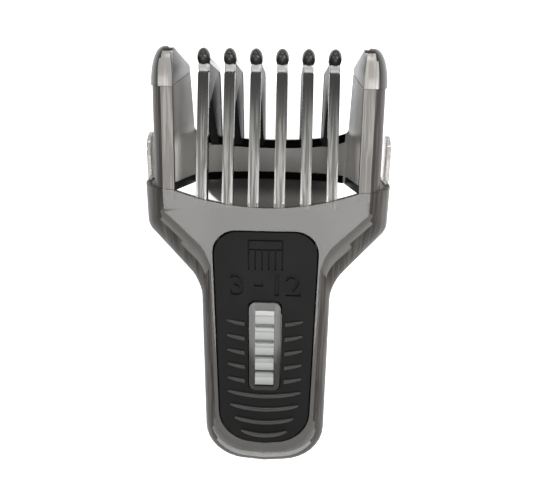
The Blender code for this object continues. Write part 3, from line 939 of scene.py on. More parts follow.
def rib_tree() -> GrownTree:
    """Builds the tree for the panel's ribs: bowed bars down the grip, the last ones narrower.

    Returns:
        The tree, with Count, First, Pitch, Half Width, Rise, Radius, Full Ribs, Narrowing and Finish.
    """
    tree = GrownTree(
        "grip_ribs",
        {
            "Count": COUNT,
            "First": FLOAT,
            "Pitch": FLOAT,
            "Half Width": FLOAT,
            "Rise": FLOAT,
            "Radius": FLOAT,
            "Full Ribs": COUNT,
            "Narrowing": FLOAT,
            "Finish": MATERIAL,
        },
    )
    half, rise = tree.inputs["Half Width"], tree.inputs["Rise"]
    left = tree.math("MULTIPLY", half, -1.0)
    bow = tree.add(
        "GeometryNodeCurveQuadraticBezier",
        Resolution=24,
        Start=tree.add("ShaderNodeCombineXYZ", X=left, Y=rise).outputs[0],
        Middle=tree.add("ShaderNodeCombineXYZ", Y=tree.math("MULTIPLY", rise, -1.0)).outputs[0],
        End=tree.add("ShaderNodeCombineXYZ", X=half, Y=rise).outputs[0],
    )
    along = tree.add("GeometryNodeSplineParameter").outputs[0]
    from_middle = tree.math("ABSOLUTE", tree.math("SUBTRACT", tree.math("MULTIPLY", along, 2.0), 1.0))
    thin = tree.math("SUBTRACT", 1.0, tree.math("MULTIPLY", tree.math("POWER", from_middle, 5.0), 0.55))
    tapered = tree.add(
        "GeometryNodeSetCurveRadius", Curve=bow.outputs["Curve"], Radius=thin
    ).outputs["Curve"]
    circle = tree.add("GeometryNodeCurvePrimitiveCircle", Resolution=12, Radius=tree.inputs["Radius"])
    bar = tree.add(
        "GeometryNodeCurveToMesh",
        Curve=tapered,
        Profile_Curve=circle.outputs["Curve"],
        Scale=thin,
        Fill_Caps=True,
    )
    line = tree.downwards()
    number = tree.add("GeometryNodeInputIndex").outputs[0]
    past = tree.math("MAXIMUM", tree.math("SUBTRACT", number, tree.inputs["Full Ribs"]), 0.0)
    loss = tree.math("MULTIPLY", tree.math("POWER", past, 1.7), tree.inputs["Narrowing"])
    width = tree.add("ShaderNodeCombineXYZ", X=tree.math("SUBTRACT", 1.0, loss), Y=1.0, Z=1.0)
    tree.repeat(line, bar.outputs["Mesh"], Scale=width.outputs[0])
    return tree


def ridge_tree() -> GrownTree:
    """Builds the tree for the button's ridges: bars with a leaning crest, one below the other.

    Returns:
        The tree, with Shape, Count, First, Pitch and Finish.
    """
    tree = GrownTree(
        "button_ridges",
        {
            "Shape": SHAPE,
            "Count": COUNT,
            "First": FLOAT,
            "Pitch": FLOAT,
            "Finish": MATERIAL,
        },
    )
    line = tree.downwards()
    shape = tree.add("GeometryNodeObjectInfo", Object=tree.inputs["Shape"])
    tree.repeat(line, shape.outputs["Geometry"])
    return tree


# ---------------------------------------------------------------- sub-assemblies


@dataclass
class SubAssembly:
    """What every sub-assembly needs: the comb's axes and the shared sizes.

    Args:
        axes: Where the comb lies.
        sizes: The shared sizes.
    """

    axes: CombAxes
    sizes: CombSizes
    steepness: ClassVar[float] = 0.78

    def settle(
        self,
        piece: bpy.types.Object,
        finish: Finish,
        body: str,
        slot: str,
        replaced: tuple[str, ...] = (),
        sharp: float = 32,
        steep: Finish | None = None,
    ) -> bpy.types.Object:
        """Places a finished piece, dresses it and ties it to its body.

        Args:
            piece: The piece, in the comb's axes.
            finish: Its material.
            body: The body it rides on.
            slot: The record's material slot; not used.
            replaced: CAD nodes that it stands for.
            sharp: Edges sharper than this many degrees stay crisp.
            steep: Finish of its upright faces: a darker copy of the same plastic, as painted shade.

        Returns:
            The piece.
        """
        piece.data.materials.clear()
        piece.data.materials.append(finish.material(self.axes))
        if steep:
            piece.data.materials.append(steep.material(self.axes))
        # Upright faces take the steep finish, painted shade.
        for face in piece.data.polygons:
            face.material_index = int(steep is not None and abs(face.normal.z) < self.steepness)
        piece.data.transform(self.axes.matrix)
        piece.data.shade_smooth()
        piece.data.set_sharp_from_angle(angle=radians(sharp))
        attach(piece, body)
        if replaced:
            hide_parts(*replaced)
        LOG.info("%s: %d faces on %s", piece.name, len(piece.data.polygons), body)
        return piece


@dataclass
class Moulding(SubAssembly):
    """The smoked moulding: shell, funnel, guards, basket walls, bow, rear apron and slide rails."""

    steepness: ClassVar[float] = 0.9
    head_half: float = 23.9 * MM
    shank_half: float = 13.0 * MM
    heel_half: float = 13.1 * MM
    face_shank_half: float = 10.6 * MM
    face_heel_half: float = 9.9 * MM
    head_top: float = 3.2 * MM
    head_shoulder: float = -5.6 * MM
    waist: float = -16.6 * MM
    heel_end: float = -60.3 * MM
    face_end: float = -54.2 * MM
    head_flare: float = 8.0 * MM
    shank_flare: float = 4.0 * MM
    head_depth: float = 15.0 * MM
    shank_depth: float = 12.5 * MM
    deck_front: float = -4.2 * MM
    deck_back: float = -5.4 * MM
    boss_reach: Point = (4.2 * MM, 5.8 * MM)
    boss_half: float = 1.3 * MM
    grip_foot: float = 3.25 * MM
    grip_top: float = 12.2 * MM
    grip_width: float = 7.6 * MM
    grip_depths: Point = (1.0 * MM, 0.2 * MM)

    def _face_path(self) -> list[Vector]:
        """Right half of the front face's edge, from the head down to the heel."""
        return rounded_path(
            [
                (self.sizes.face_head_half, self.head_top, 0),
                (self.sizes.face_head_half, -0.9 * MM, 1.6 * MM),
                (self.face_shank_half, -9.0 * MM, 6.0 * MM),
                (self.face_heel_half, self.face_end + 1.0 * MM, 8.0 * MM),
                (0, self.face_end, 0),
            ]
        )

    def _side_path(self, inset: float = 0.0) -> list[Vector]:
        """Right half of the widest outline, drawn in by an inset."""
        return rounded_path(
            [
                (self.head_half - inset, self.head_top, 0),
                (self.head_half - inset, self.head_shoulder, 3.0 * MM),
                (self.shank_half - inset, self.waist, 8.0 * MM),
                (self.heel_half - inset, self.heel_end + 1.2 * MM + inset, 9.0 * MM),
                (0, self.heel_end + inset, 0),
            ]
        )

    def _flank_row(self, face: Vector, side: Vector, straight: float = 0.4) -> list[Vector]:
        """Draws one section: up the side wall, over the flank and across the face.

        Args:
            face: The face's edge there.
            side: The widest outline there.
            straight: Share of the fall that is a straight slope; the rest is round.

        Returns:
            The section's points.
        """
        share = min(max((side.y - self.waist) / (self.head_shoulder - self.waist), 0), 1)
        flare = mix(self.shank_flare, self.head_flare, share)
        back = mix(self.shank_depth, self.head_depth, share)
        row = [Vector((side.x, side.y, -back)), Vector((side.x, side.y, -(flare + back) / 2))]
        steps = 10
        for i in range(steps + 1):
            step = 1 - i / steps
            out = sin(step * pi / 2)
            down = straight * step + (1 - straight) * (1 - cos(step * pi / 2))
            row.append(
                Vector((mix(face.x, side.x, out), mix(face.y, side.y, out), -flare * down))
            )
        row.append(Vector((0, face.y, 0)))
        return row

    def _refined(self, path: list[Vector], longest: float = 2.0 * MM) -> list[float]:
        """Shares along a path's pieces at which more sections are drawn.

        Args:
            path: The path's points.
            longest: Longest step between two sections.

        Returns:
            Places along the list, such as 2.5 for halfway from point 2 to point 3.
        """
        places: list[float] = []
        for i, (a, b) in enumerate(zip(path, path[1:])):
            count = max(1, round((b - a).length / longest))
            places += [i + k / count for k in range(count)]
        return places + [float(len(path) - 1)]

    @staticmethod
    def _at(path: list[Vector], place: float) -> Vector:
        """The point at a place along a path."""
        i = min(int(place), len(path) - 2)
        return path[i].lerp(path[i + 1], place - i)

    def shell(self) -> bpy.types.Object:
        """Makes the shell with its deck, the latch pin's bosses and the cut above the front rim.

        Returns:
            The shell, in the comb's axes.
        """
        faces, sides = self._face_path(), self._side_path()
        rows = [
            self._flank_row(self._at(faces, place), self._at(sides, place))
            for place in self._refined(sides)
        ]
        shell = thickened(mirrored(sheet("smoked_moulding", rows)), self.sizes.wall)
        combine(shell, self._deck(), Solver.JOIN)
        for side in Side:
            combine(shell, self._boss(side), Solver.JOIN)
        combine(shell, self._rim_cutter(), Solver.CUT)
        return shell

    def _deck(self) -> bpy.types.Object:
        """The deck behind the thumb panel."""
        top, half_top, clear = -1.6 * MM, 10.8 * MM, 0.8 * MM
        half = [Vector((0, top)), Vector((half_top, top))]
        half += [p for p in self._side_path(inset=clear) if p.y < self.waist * 0.7]
        outline = half + [Vector((-p.x, p.y)) for p in reversed(half) if p.x > 0.01 * MM]
        deck = extruded("deck", outline, self.deck_back, self.deck_front)
        half_slot, slot_end, slot_top = 2.4 * MM, -35.5 * MM, -5.4 * MM
        slot = block(
            "slot",
            (-half_slot, slot_end, self.deck_back - MM),
            (half_slot, slot_top, self.deck_front + MM),
        )
        return combine(deck, slot, Solver.CUT)

    def _boss(self, side: Side) -> bpy.types.Object:
        """One of the two ears that hold the latch pin."""
        pivot = self.sizes.pivot
        low_x, high_x = limits(side, *self.boss_reach)
        return block(
            "boss",
            (low_x, pivot.y - self.boss_half, self.deck_front - 0.3 * MM),
            (high_x, pivot.y + self.boss_half, pivot.z + 1.0 * MM),
        )

    def _lug(self, side: Side) -> bpy.types.Object:
        """The thin grip that stands up outside a guard."""
        top, width = self.grip_top, self.grip_width
        middle = -(self.head_flare + self.head_depth) / 2
        outline = [Vector((self.grip_foot, middle + half)) for half in (-width / 2, width / 2)]
        steps = 20
        for i in range(steps + 1):
            angle = pi / 2 - pi * i / steps
            reach = top - width / 2 + cos(angle) * width / 2
            outline.append(Vector((reach, middle + sin(angle) * width / 2)))
        inner, outer = self.grip_depths
        low_x, high_x = limits(side, self.head_half - inner, self.head_half - outer)
        return extruded("lug", outline, low_x, high_x, across=True)

    def _rim_cutter(self) -> bpy.types.Object:
        """Everything between the guards above the front rim."""
        steps, half = 24, self.sizes.basket_half
        xs = [half * (2 * i / steps - 1) for i in range(steps + 1)]
        rim = [Vector((x, self.sizes.rim_height(x))) for x in xs]
        above = [Vector((half, 12 * MM)), Vector((-half, 12 * MM))]
        return extruded("rim_cutter", rim + above, -3 * MM, 2 * MM)

    def guard(self, side: Side) -> bpy.types.Object:
        """The wide outer tooth's front face and flank, up to its cap."""
        sizes = self.sizes
        steps = 14
        levels = [mix(1.5 * MM, sizes.cap_start - 0.05 * MM, i / steps) for i in range(steps + 1)]
        rows = [
            sizes.guard_section(y, sizes.guard_half, sizes.face_head_half, 5.5 * MM) for y in levels
        ]
        return thickened(flipped(sheet("guard", rows), side), sizes.wall)

    def cheek(self, side: Side) -> bpy.types.Object:
        """The flat inner wall of the basket, from behind a guard back to the rear bow."""
        sizes = self.sizes
        knee = Vector(sizes.cap_knee)
        outline = [
            Vector((sizes.cheek_foot, sizes.guard_front(sizes.cheek_foot) - 0.5 * MM)),
            Vector((sizes.cap_start - sizes.seam, sizes.guard_front(sizes.cap_start) - 0.6 * MM)),
            knee - Vector((0.1 * MM, 0)),
            Vector((sizes.bow_side_top, -sizes.cheek_back - 0.3 * MM)),
            Vector((sizes.bow_low, -sizes.cheek_back - 0.3 * MM)),
        ]
        low_x, high_x = limits(side, sizes.basket_half + 0.02 * MM, sizes.basket_half + sizes.cheek)
        return extruded("cheek", outline, low_x, high_x, across=True)

    def cheek_bead(self, side: Side) -> bpy.types.Object:
        """The dark bead along a cheek's foot, which carries the bow's foot bead round to the guard: painted
        shade where the plastic's edge looks dark.
        """
        sizes = self.sizes
        front, back = sizes.guard_front(sizes.cheek_foot) - 0.6 * MM, -sizes.cheek_back
        outline = [
            Vector((2.92 * MM, front)),
            Vector((4.4 * MM, front)),
            Vector((sizes.bow_low + 1.7 * MM, back)),
            Vector((sizes.bow_low + 0.02 * MM, back)),
        ]
        low_x, high_x = limits(side, sizes.basket_half - 0.12 * MM, sizes.basket_half + 0.5 * MM)
        return extruded(f"cheek_foot_bead_{side.name.lower()}", outline, low_x, high_x, across=True)

    def bow(self) -> bpy.types.Object:
        """The rail round the back of the basket."""
        sizes = self.sizes
        rows = []
        steps = 28
        for i in range(steps + 1):
            x = (sizes.basket_half + sizes.cheek) * cos(i / steps * pi / 2)
            depth = sizes.bow_depth_at(x)
            top = sizes.bow_top_at(depth)
            rows.append([Vector((x, y, -depth)) for y in (sizes.bow_low, (sizes.bow_low + top) / 2, top)])
        return thickened(mirrored(sheet("bow", rows)), sizes.cheek)

    def apron(self) -> bpy.types.Object:
        """The tongue below the bow that closes the funnel's back."""
        sizes = self.sizes
        top, end, half, taper = sizes.bow_low + 0.4 * MM, -7.6 * MM, 15.0 * MM, 3.2 * MM
        rows = []
        steps = 18
        for i in range(steps + 1):
            share = i / steps
            x = half * (1 - share)
            low = end + 5 * MM * (1 - share) ** 4
            row = []
            for part_way in (0, 0.25, 0.5, 0.75, 1):
                y = mix(top, low, part_way)
                sunk = taper * max(sizes.bow_low - y, 0) / (sizes.bow_low - end)
                row.append(Vector((x, y, -sizes.bow_depth_at(x) + 0.1 * MM + sunk)))
            rows.append(row)
        return thickened(mirrored(sheet("apron", rows)), sizes.wall, inwards=False)

    def rail(self, side: Side) -> bpy.types.Object:
        """A guide rail with two windows and a lip along its back edge."""
        outer, inner, lip = 10.7 * MM, 9.3 * MM, 8.4 * MM
        top, end = -3.3 * MM, -46.5 * MM
        front, back = self.deck_back + 0.2 * MM, -11.5 * MM
        low_x, high_x = limits(side, inner, outer)
        rail = block("rail", (low_x, end, back), (high_x, top, front))
        low_x, high_x = limits(side, lip, inner + 0.3 * MM)
        combine(
            rail, block("lip", (low_x, end + MM, back + 0.3 * MM), (high_x, top - MM, back + 1.6 * MM)),
            Solver.JOIN,
        )
        through, half_window = 12 * MM, 2 * MM
        for middle in (-19.6 * MM, -30.5 * MM):
            window = block(
                "window",
                (-through, middle - half_window, back + 2.2 * MM),
                (through, middle + half_window, self.deck_back - 1.1 * MM),
            )
            combine(rail, window, Solver.CUT)
        return rail

    def _lip(self, low: float, high: float, name: str) -> bpy.types.Object:
        """A dark bead along the bow: painted shade where the plastic's edge looks dark.

        Args:
            low: Where it starts, from the bow's top edge, or from its foot if both are positive.
            high: Where it ends.
            name: Its name.

        Returns:
            The bead, which follows the bow's inner and outer face.
        """
        sizes = self.sizes
        rows = []
        steps = 28
        for i in range(steps + 1):
            x = (sizes.basket_half + 0.3 * MM) * cos(i / steps * pi / 2)
            depth = sizes.bow_depth_at(x)
            base = sizes.bow_low if low >= 0 else sizes.bow_top_at(depth)
            rows.append([Vector((x, y, -depth + 0.05 * MM)) for y in (base + low, base + high)])
        bead = thickened(mirrored(sheet(name, rows)), sizes.cheek + 0.2 * MM)
        return bevelled(bead, 0.15 * MM, segments=2, angle=50)

    def build(self, recess: bpy.types.Object) -> None:
        """Joins the shell, and settles it and the basket's walls.

        Args:
            recess: The thumb panel's outline as a block, which the face is cut with.
        """
        body, slot = "comb", "smoked_polycarbonate"
        moulding = self.shell()
        for side in Side:
            combine(moulding, self.rail(side), Solver.JOIN)
        combine(moulding, recess, Solver.CUT)
        rails = tuple(f"slide_rail_{side.name.lower()}" for side in Side)
        # The shell's upright faces take the flank finish, painted shade.
        self.settle(moulding, SMOKED, body, slot, ("shank_shell", *rails), 24, SMOKED_FLANK)
        for side in Side:
            name = side.name.lower()
            # Guards: a painted sheen on the front, painted shade on the upright faces.
            self.settle(self.guard(side), SMOKED_FRONT, body, slot, (f"guard_{name}",), 24, SMOKED_FLANK)
            self.settle(bevelled(self._lug(side), 0.2 * MM), SMOKED_THIN, body, slot)
            # Cheeks: painted shade, turning pale as painted light towards the rim.
            self.settle(self.cheek(side), SMOKED_WALL, body, slot, (f"cheek_{name}",), sharp=24)
            # A bead of painted shade along the cheek's foot.
            self.settle(self.cheek_bead(side), SMOKED_SHADED, body, slot)
        # The bow's face is painted light.
        self.settle(self.bow(), SMOKED_BOW, body, slot, ("rear_bow",), sharp=24)
        # The apron is painted shade, paler towards its end.
        self.settle(self.apron(), SMOKED_DEEP, body, slot, ("rear_apron",), sharp=24)
        # Beads of painted shade along the bow's top and foot.
        self.settle(self._lip(-1.9 * MM, -0.02 * MM, "bow_top_bead"), SMOKED_SHADED, body, slot)
        self.settle(self._lip(0.02 * MM, 1.7 * MM, "bow_foot_bead"), SMOKED_SHADED, body, slot)


@dataclass
class Teeth(SubAssembly):
    """The six slim teeth and their tips, whose dark tone is painted shade."""

    count: int = 6
    pitch: float = 4.87 * MM
    thick: float = 2.0 * MM
    tip_y: float = 27.9 * MM
    lean: float = radians(19.0)
    flattening: float = 3.2e-4 / MM**2
    knee: Point = (24.4 * MM, -27.6 * MM)
    tip_radii: Point3 = (1.24 * MM, 1.72 * MM, 1.9 * MM)
    tip_drop: float = 1.6 * MM
    rim_depth: float = 1.2 * MM
    collar_start: float = 4.2 * MM
    collar_middle: float = 3.4 * MM
    collar_half: Point = (0.96 * MM, 0.75 * MM)
    glint_x: float = 0.8 * MM
    glint_radii: Point = (0.26 * MM, 0.06 * MM)
    glint_span: Point = (0.8 * MM, 15.0 * MM)

    @property
    def leg_end(self) -> Point:
        """Where the rear leg ends on the bow: how high, and how far back."""
        return self.sizes.bow_top - 0.4 * MM, -self.sizes.bow_depth + 0.15 * MM

    def _outer(self, inset: float = 0.0) -> list[Vector]:
        """The blade's front, skin edge and rear leg as one path, drawn in by an inset."""
        foot, back = self.leg_end
        end = self.tip_y - 1.4 * MM - inset
        return rounded_path(
            [
                (0.1 * MM, -0.1 * MM - inset, 0),
                (end, -end * tan(self.lean) - inset, 1.2 * MM),
                (self.knee[0] - inset, self.knee[1] + inset * 0.7, 3.2 * MM - inset),
                (foot, back + inset, 0),
            ],
            steps=10,
        )

    def blade(self) -> bpy.types.Object:
        """Makes one blade: front post, tip, skin edge, knee and rear leg.

        Returns:
            The blade, with its edges rounded, at X = 0.
        """
        foot, back = self.leg_end
        inner = rounded_path(
            [
                (foot, back + 6.5 * MM, 0),
                (15.2 * MM, -15.5 * MM, 6 * MM),
                (19.0 * MM, -11.0 * MM, 1.4 * MM),
                (16.8 * MM, -8.3 * MM, 1.6 * MM),
                (0.1 * MM, -4.0 * MM, 0),
            ],
            steps=6,
        )
        half = self.thick / 2 - 0.1 * MM
        blade = extruded("blade", self._outer(0.35 * MM) + inner, -half, half, across=True)
        return bevelled(blade, 0.2 * MM, segments=2, angle=50)

    def edge(self) -> bpy.types.Object:
        """Makes the pale rounded rim, painted light, that runs up one blade's front, over its skin edge and
        down its leg.
        """
        ribbon = self._outer() + list(reversed(self._outer(self.rim_depth)))
        rim = extruded("edge", ribbon, -self.thick / 2, self.thick / 2, across=True)
        start = self.tip_y - self.collar_start
        collar = block(
            "collar_gap", (-3 * MM, start, -self.tip_y * tan(self.lean) - MM), (3 * MM, self.tip_y + MM, 2 * MM)
        )
        combine(rim, collar, Solver.CUT)
        return bevelled(rim, 0.5 * MM, segments=4, angle=50)

    def collar(self) -> bpy.types.Object:
        """Makes the pale collar below one tip, a painted highlight."""
        y = self.tip_y - self.collar_middle
        half, tall = self.collar_half
        front = -y * tan(self.lean)
        slab = block("collar", (-half, y - tall, front - 1.6 * MM), (half, y + tall, front + 0.05 * MM))
        return bevelled(slab, 0.3 * MM, segments=3, angle=50)

    def tip(self) -> bpy.types.Object:
        """Makes one rounded tip at X = 0."""
        bm = bmesh.new()
        bmesh.ops.create_uvsphere(bm, u_segments=28, v_segments=18, radius=1)
        radii = Matrix.Diagonal((*self.tip_radii, 1))
        level = self.tip_y - self.tip_drop
        centre = Vector((0, level, -level * tan(self.lean) - 0.6 * MM))
        shape = Matrix.Translation(centre) @ Matrix.Rotation(-self.lean, 4, "X") @ radii
        bmesh.ops.transform(bm, matrix=shape, verts=bm.verts)
        return mesh_object("tip", bm)

    def glints(self) -> bpy.types.Object:
        """Makes the two bright beads along one front edge's corners, painted highlights."""
        pair = None
        for side in Side:
            x = side.value * self.glint_x
            thick, thin = self.glint_radii
            low, high = self.glint_span
            bm = bmesh.new()
            length = (high - low) / cos(self.lean)
            bmesh.ops.create_cone(
                bm, cap_ends=True, segments=12, radius1=thick, radius2=thin, depth=length
            )
            middle = (low + high) / 2
            turn = Matrix.Rotation(-pi / 2 - self.lean, 4, "X")
            put = Matrix.Translation((x, middle, -middle * tan(self.lean) - 0.22 * MM)) @ turn
            bmesh.ops.transform(bm, matrix=put, verts=bm.verts)
            bead = mesh_object("glint", bm)
            pair = combine(pair, bead, Solver.JOIN) if pair else bead
        return pair

    def build(self) -> None:
        """Repeats the blade and the tip across the comb."""
        tree = row_tree()
        numbers = range(1, self.count + 1)
        # The pale edges, collars and glints are painted light; the tips are painted shade, and the near-black
        # blades partly so.
        for name, shape, finish, slot, nodes in (
            ("comb_teeth", self.blade(), SMOKED_SHADED, "smoked_polycarbonate", "tooth_"),
            ("tooth_edges", self.edge(), SMOKED_EDGE, "smoked_polycarbonate", ""),
            ("tooth_collars", self.collar(), COLLAR_HIGHLIGHT, "smoked_polycarbonate", ""),
            ("tooth_glints", self.glints(), COLLAR_HIGHLIGHT, "smoked_polycarbonate", ""),
            ("tooth_tips", self.tip(), TIP_SHADE, "dark_tip_plastic", "tooth_tip_"),
        ):
            row = tree.grow(
                name,
                shape=shape,
                count=self.count,
                pitch=self.pitch,
                flattening=self.flattening,
                finish=finish.material(self.axes),
            )
            bpy.data.objects.remove(shape)
            replaced = tuple(f"{nodes}{n}" for n in numbers) if nodes else ()
            self.settle(row, finish, "comb", slot, replaced)


@dataclass
class GuardCap(SubAssembly):
    """The rounded end of a guard, with a painted sheen on its front and painted shade on its rim."""

    side: Side = Side.RIGHT

    def build(self) -> bpy.types.Object:
        """Makes the dome over the guard's front and flank, with the cheek plate behind it.

        Returns:
            The cap.
        """
        sizes = self.sizes
        rows = []
        steps, crowding, least = 12, 1.6, 0.08
        for i in range(steps + 1):
            share = 1 - (1 - i / steps) ** crowding
            y = mix(sizes.cap_start, sizes.guard_top, sin(share * pi / 2))
            narrow = least + (1 - least) * max(cos(share * pi / 2), 0) ** 0.8
            centre = Vector((sizes.basket_half + 1.4 * MM, y, sizes.guard_front(y) - 3.5 * MM))
            row = sizes.guard_section(
                y, sizes.guard_half + 0.35 * MM, sizes.face_head_half + 0.1 * MM, 5.8 * MM, steps=10
            )
            rows.append([centre + (p - centre) * narrow for p in row])
        side_name = self.side.name.lower()
        cap = flipped(sheet(f"guard_cap_visible_{side_name}", rows), self.side)
        thickened(cap, sizes.wall + 0.3 * MM)
        knee = Vector(sizes.cap_knee)
        plate = [
            Vector((sizes.cap_start + 0.05 * MM, sizes.guard_front(sizes.cap_start) - 1.0 * MM)),
            *arc_corner(
                (sizes.cap_start, -3 * MM), (sizes.guard_top, -5 * MM), (24.6 * MM, knee.y), 1.5 * MM
            ),
            *arc_corner((sizes.guard_top, -7 * MM), (24.6 * MM, knee.y), knee, 0.6 * MM),
            knee,
        ]
        low_x, high_x = limits(self.side, sizes.basket_half + 0.05 * MM, sizes.basket_half + sizes.cheek)
        solid = bevelled(extruded("plate", plate, low_x, high_x, across=True), 0.3 * MM)
        combine(cap, solid, Solver.JOIN)
        # Its front takes a painted sheen and its upright faces painted shade.
        return self.settle(
            cap, CAP_FACE, "comb", "dark_tip_plastic", (f"guard_cap_{side_name}",), 40, TIP_SHADE
        )


@dataclass
class ThumbPanel(SubAssembly):
    """The black panel: ribs, button window, engraved range and comb symbol."""

    top: float = -4.7 * MM
    end: float = -52.7 * MM
    half_top: float = 10.0 * MM
    half_end: float = 9.3 * MM
    thick: float = 1.4 * MM
    engraving: float = 0.4 * MM
    range_y: float = -15.4 * MM
    range_height: float = 4.5 * MM
    rib_count: int = 9
    rib_first: float = -24.2 * MM
    rib_pitch: float = 3.31 * MM
    rib_half: float = 7.6 * MM
    rib_rise: float = 1.1 * MM
    rib_radius: float = 0.5 * MM
    ribs_beside_button: int = 5
    rib_narrowing: float = 0.055

    def outline(self, spread: float = 0.0) -> list[Vector]:
        """Draws the panel's outline, grown by a clearance.

        Args:
            spread: The clearance.

        Returns:
            Its points.
        """
        top, end = self.top + spread, self.end - spread
        wide, narrow = self.half_top + spread, self.half_end + spread
        half = [Vector((0, top))]
        half += arc_corner((0, top), (wide, top), (narrow, end + MM), 4.6 * MM, steps=14)
        half += arc_corner((wide, top), (narrow, end + MM), (0, end), 7.6 * MM, steps=20)
        half.append(Vector((0, end)))
        return half + [Vector((-p.x, p.y)) for p in reversed(half) if p.x > 0.01 * MM]

    def recess(self) -> bpy.types.Object:
        """The block that the moulding's face is cut with."""
        return extruded("recess", self.outline(0.3 * MM), -self.thick - 0.3 * MM, 2 * MM)

    def _lettering(self, words: str, x: float, y: float, height: float) -> bpy.types.Object:
        """Makes engraved characters as a cutter.

        Args:
            words: The characters.
            x: Their middle across.
            y: Their middle along.
            height: Height of a capital.

        Returns:
            The cutter.
        """
        text = bpy.data.curves.new("lettering", "FONT")
        text.body = words
        text.align_x, text.align_y = "CENTER", "CENTER"
        text.size = height / 0.7
        text.extrude = self.engraving
        text.offset = 0.018 * text.size
        text.resolution_u = 4
        obj = bpy.data.objects.new("lettering", text)
        bpy.context.scene.collection.objects.link(obj)
        solid = meshed(obj)
        ys = [v.co.y for v in solid.data.vertices]
        solid.data.transform(Matrix.Translation((x, y - (min(ys) + max(ys)) / 2, 0)))
        return solid

    def _symbol(self) -> list[bpy.types.Object]:
        """A plain comb: a back and a row of teeth, as cutters."""
        depth, pen = self.engraving, 0.15 * MM
        low, root, spine, back, high = -12.3 * MM, -8.3 * MM, -8.0 * MM, -6.45 * MM, -6.1 * MM
        half, last, teeth = 3.4 * MM, 3.25 * MM, 6
        strokes = [
            block("back", (-half, back, -depth), (half, high, depth)),
            block("spine", (-half, root, -depth), (half, spine, depth)),
        ]
        for i in range(teeth):
            x = mix(-last, last, i / (teeth - 1))
            strokes.append(block("stroke", (x - pen, low, -depth), (x + pen, root, depth)))
        for x in (-last, last):
            strokes.append(block("edge", (x - pen, spine, -depth), (x + pen, back, depth)))
        return strokes

    def build(self, window: bpy.types.Object, rib_window: bpy.types.Object) -> None:
        """Makes the panel and its ribs.

        Args:
            window: The button's outline as a block, for the panel.
            rib_window: The same, a little larger, for the ribs.
        """
        panel = extruded("grip_panel", self.outline(), -self.thick, 0)
        bevelled(panel, 0.4 * MM, segments=4, angle=50)
        combine(panel, window, Solver.CUT)
        for words, x in (("3", -5.5 * MM), ("-", -1.3 * MM), ("12", 3.9 * MM)):
            combine(panel, self._lettering(words, x, self.range_y, self.range_height), Solver.CUT)
        for stroke in self._symbol():
            combine(panel, stroke, Solver.CUT)
        self.settle(panel, PANEL_BLACK, "comb", "black_panel_plastic", ("thumb_panel",), sharp=40)
        # The ribs' lighter tone is a painted highlight on their crests.
        ribs = rib_tree().grow(
            "panel_ribs",
            count=self.rib_count,
            first=self.rib_first,
            pitch=self.rib_pitch,
            half_width=self.rib_half,
            rise=self.rib_rise,
            radius=self.rib_radius,
            full_ribs=self.ribs_beside_button,
            narrowing=self.rib_narrowing,
            finish=PANEL_RIB.material(self.axes),
        )
        ribs.data.transform(Matrix.Translation((0, -0.1 * MM, 0.1 * MM)))
        combine(ribs, rib_window, Solver.CUT)
        self.settle(ribs, PANEL_RIB, "comb", "black_panel_plastic", sharp=40)


